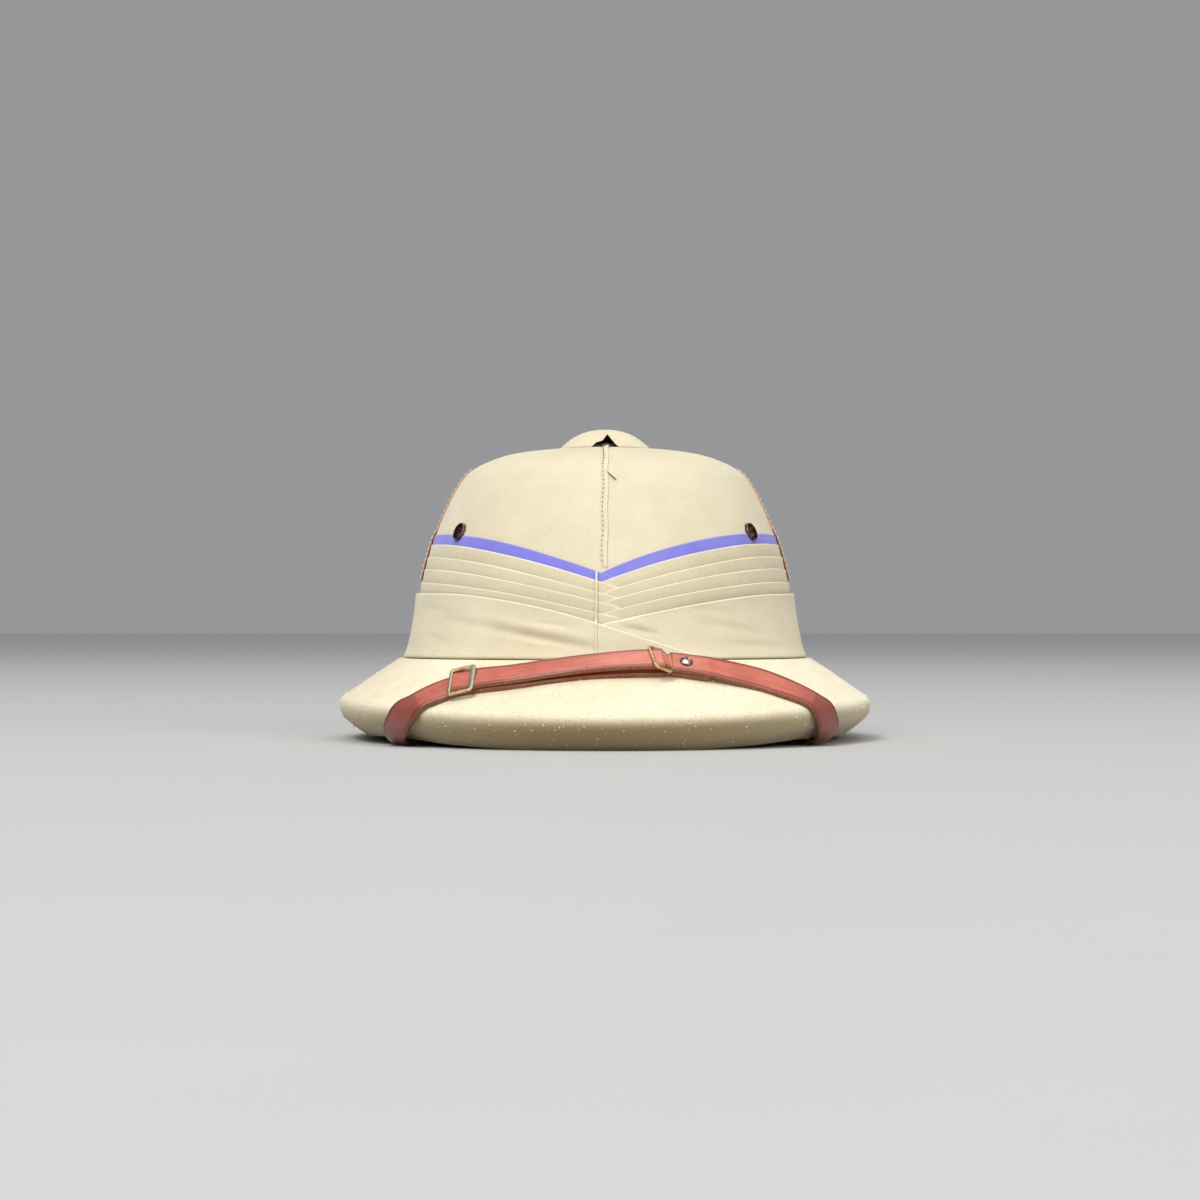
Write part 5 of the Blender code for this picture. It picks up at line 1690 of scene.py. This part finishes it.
    def _frame(self, seat: Seat, tilt: float, length: float, bars: tuple[float, float, float],
               thick: float, round_corner: float) -> Sweep:
        """A rectangular frame of rounded bars round the strap.

        Args:
            seat: The frame's middle.
            tilt: Its lean about the strap's width, in radians.
            length: Its length along the strap.
            bars: Bar widths at the run's end, at its start and at the two sides.
            thick: The bars' thickness.
            round_corner: Radius of the frame's corners.

        Returns:
            The sweep, with its plating mask.
        """
        run = seat.run * math.cos(tilt) + seat.normal * math.sin(tilt)
        normal = run.cross(seat.across).normalized()
        half_length = length / 2 - self.frame_bar / 2
        half_width = self.width / 2 + self.frame_room + self.frame_bar / 2
        path, ways, wides, plated = [], [], [], []
        corners = ((1, 1), (-1, 1), (-1, -1), (1, -1))
        for k, (a, b) in enumerate(corners):
            centre = (a * (half_length - round_corner), b * (half_width - round_corner))
            start = math.atan2(b, a) - math.pi / 4
            for step in range(7):
                angle = start + step / 6 * math.pi / 2
                way = (math.cos(angle), math.sin(angle))
                path.append((centre[0] + round_corner * way[0], centre[1] + round_corner * way[1]))
                ways.append(way)
                across_run = abs(way[0])
                end_bar = bars[0] if a > 0 else bars[1]
                wides.append(end_bar * across_run ** 2 + bars[2] * (1 - across_run ** 2))
                plated.append(float(smooth(np.array(across_run), 0.45, 0.9)))
            next_a, next_b = corners[(k + 1) % 4]
            end = path[-1]
            goal = (next_a * (half_length if a == next_a else half_length - round_corner),
                    next_b * (half_width if b == next_b else half_width - round_corner))
            for step in range(1, 6):
                t = step / 6
                path.append((end[0] + (goal[0] - end[0]) * t, end[1] + (goal[1] - end[1]) * t))
                ways.append(ways[-1])
                wides.append(wides[-1])
                plated.append(plated[-1])
        angles = np.arange(12) * math.tau / 12
        rows = []
        for (x, y), (wx, wy), wide in zip(path, ways, wides):
            ring = []
            for angle in angles:
                out = math.copysign(abs(math.cos(angle)) ** 0.7, math.cos(angle)) * wide / 2
                up = math.copysign(abs(math.sin(angle)) ** 0.8, math.sin(angle)) * thick / 2
                point = seat.place + run * (x + wx * out) + seat.across * (y + wy * out)
                ring.append(tuple(point + normal * (up + thick / 2)))
            rows.append(ring)
        return Sweep(np.array(rows), closed_rows=True, masks={"plating": np.array(plated)[:, None]})

    def _slide(self) -> None:
        """The flat slide over both layers, with brass borders and worn silvery bars."""
        layer = self.thickness + GAP
        seat = self.seat(RETURN_ROUTE, 0.925, GAP + 1.75 * layer)
        lean = 0.07
        seat = seat.moved(seat.across * 0.9 * MM).leaning(lean)
        sweep = self._frame(seat, -0.08, 14.0 * MM, (2.0 * MM, 3.0 * MM, 2.1 * MM), 1.2 * MM, 1.3 * MM)
        dress(sweep.build("slide_buckle_worn"), self.brass, "zinc", "slide_buckle")

    def _loop(self) -> None:
        """The brass wire loop that both lengths of the strap turn round."""
        layer = self.thickness + GAP
        seat = self.seat(DOUBLED_ROUTE, 0.0, GAP + 2.15 * layer)
        seat = seat.moved(seat.run * 1.9 * MM)
        sweep = self._frame(seat, 0.42, self.frame_length, (1.9 * MM, 1.6 * MM, 1.7 * MM), 1.5 * MM, 2.0 * MM)
        sweep.masks = {"plating": np.zeros((1, 1))}
        dress(sweep.build("end_loop_wire"), self.brass, "brass", "end_loop")

    def _rivet(self) -> None:
        """The tubular rivet: a dark rolled rim round a bright domed middle."""
        low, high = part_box("strap_rivet")
        middle = (low + high) / 2
        shares = np.linspace(0.02, 0.5, 97)
        share = min(shares, key=lambda s: (self.seat(RIGHT_ROUTE, float(s), 3 * MM).place - middle).length)
        share = float(share) - self.rivet_shift
        top = GAP + (float(self._route(RIGHT_ROUTE, np.array([share])).lift[0]) + 1) * (self.thickness + GAP)
        seat = self.seat(RIGHT_ROUTE, share, top)
        rim = [(3.3, -0.6), (3.35, 0.1), (3.15, 0.5), (2.75, 0.72), (2.35, 0.62), (2.05, 0.3), (1.9, 0.1)]
        dome = [(1.75, 0.12), (1.5, 0.3), (1.1, 0.45), (0.6, 0.53), (0.02, 0.56), (0.02, -0.6)]
        sweep = turned([(r * MM, h * MM) for r, h in rim + dome], 48, seat.place, seat.normal)
        sweep.masks = {"plating": np.array([0.0] * len(rim) + [1.0] * 5 + [0.0])[None, :]}
        dress(sweep.build("strap_rivet_tubular"), self.dark_metal, "dark_metal", "strap_rivet")

    def _anchors(self) -> None:
        """Plain domed studs that hold the strap's hidden ends."""
        for side in Side:
            name = f"strap_anchor_{side.name.lower()}"
            low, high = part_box(name)
            middle = (low + high) / 2
            inward = Vector((-middle.x, -middle.y, 0)).normalized()
            radius = (high.z - low.z) / 2
            back = -0.7 * MM
            dome = [(radius * math.sin(a), 1.5 * MM * math.cos(a) + back)
                    for a in np.linspace(0.02, math.pi / 2, 12)]
            profile = [*dome, (radius, back), (0.02 * MM, back)]
            sweep = turned(profile, 48, middle, inward)
            sweep.masks = {"plating": np.zeros((1, 1))}
            dress(sweep.build(name + "_stud"), self.dark_metal, "dark_metal", name)


# Stage, light and camera

@dataclass
class Studio:
    """The floor, the lights and the camera at the photographed view."""

    camera_place: tuple[float, float, float] = (-2.8 * MM, -1370 * MM, 59.4 * MM)
    camera_aim: tuple[float, float, float] = (-2.8 * MM, 0.0, 76.0 * MM)
    light_aim: tuple[float, float, float] = (0.0, 0.0, 90.0 * MM)
    lens: float = 74.0
    floor_tone: Rgb = (0.46, 0.46, 0.46)
    floor_reach: float = 40.0

    def build(self) -> None:
        """Adds everything that isn't the helmet."""
        self._camera()
        self._floor()
        self._light("key_softbox", (-1.75, -3.0, 4.0), 2.25, 186.0, (1.0, 0.985, 0.96))
        self._light("top_softbox", (0.4, -0.5, 4.25), 3.0, 40.0, (1.0, 0.99, 0.97))
        self._light("fill_softbox", (3.25, -3.25, 2.25), 2.5, 66.0, (1.0, 0.95, 0.85))
        sky = placed("sky_glow", bpy.data.lights.new("sky_glow", "SUN"))
        sky.data.energy = 0.75
        sky.data.angle = 1.2
        sky.rotation_euler = (math.radians(16.0), 0.0, 0.0)
        world = bpy.data.worlds.new("pale_surround")
        world.use_nodes = True
        background = world.node_tree.nodes["Background"]
        background.inputs["Color"].default_value = (0.95, 0.97, 1.0, 1.0)
        background.inputs["Strength"].default_value = 0.32
        bpy.context.scene.world = world
        bpy.context.scene.view_settings.view_transform = "Standard"

    def _camera(self) -> None:
        """Sets the camera."""
        data = bpy.data.cameras.new("front_view")
        data.lens = self.lens
        data.clip_start = 0.01
        camera = placed("front_view", data)
        camera.matrix_world = self._facing(self.camera_place, self.camera_aim)
        bpy.context.scene.camera = camera

    def _floor(self) -> None:
        """A wide pale floor."""
        mesh = bpy.data.meshes.new("pale_floor")
        reach = self.floor_reach
        corners = [(x * reach, y * reach, 0) for x, y in ((-1, -1), (1, -1), (1, 1), (-1, 1))]
        mesh.from_pydata(corners, [], [(0, 1, 2, 3)])
        floor = placed("pale_floor", mesh)
        material, tree, shader = new_material("pale_floor")
        paper = tree.noise(tree.coordinates("Object"), 14.0, 3.0)
        light = tuple(channel * 1.03 for channel in self.floor_tone)
        tree.put(shader.inputs["Base Color"], tree.mix(paper, self.floor_tone, light))
        shader.inputs["Roughness"].default_value = 0.8
        mesh.materials.append(material)

    @staticmethod
    def _facing(place: tuple[float, float, float], aim: tuple[float, float, float]) -> Matrix:
        """Where something stands that looks at a place."""
        start = Vector(place)
        return Matrix.Translation(start) @ (Vector(aim) - start).to_track_quat("-Z", "Y").to_matrix().to_4x4()

    def _light(self, name: str, place: tuple[float, float, float], size: float, power: float,
               colour: Rgb) -> None:
        """Adds a square softbox that faces the helmet."""
        data = bpy.data.lights.new(name, "AREA")
        data.shape = "SQUARE"
        data.size = size
        data.energy = power
        data.color = colour
        placed(name, data).matrix_world = self._facing(place, self.light_aim)


def build_helmet() -> None:
    """Builds the finishes and every sub-assembly."""
    looks = finish_materials()
    repeats = Repeats()
    cover, thread = looks["cover_drill"], looks["cream_thread"]
    form = CrownForm.from_frame()
    brim_form = BrimForm(form)
    eyelets = Eyelets(form, looks["dark_metal"])
    band = FoldedBand(form, looks["band_muslin"], looks["violet_muslin"], thread)
    crown = CoveredCrown(form, cover, thread, looks["grey_thread"], looks["needle_shade"], repeats, band)
    crown.build(eyelets.drills())
    CoveredBrim(brim_form, looks["brim_flannel"], looks["cream_lint"], repeats).build()
    band.build(eyelets.drills())
    SideBindings(form, band, looks["tan_tape"], thread, repeats).build()
    Ventilator(cover, looks["dull_zinc"]).build()
    eyelets.build()
    ChinStrap(brim_form, looks["strap_leather"], looks["worn_brass"], looks["dark_metal"]).build()


def main() -> None:
    """Loads the frame, and builds the helmet and its stage."""
    logging.basicConfig(level=logging.INFO, format="%(name)s: %(message)s")
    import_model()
    build_helmet()
    Studio().build()


if __name__ == "__main__":
    main()
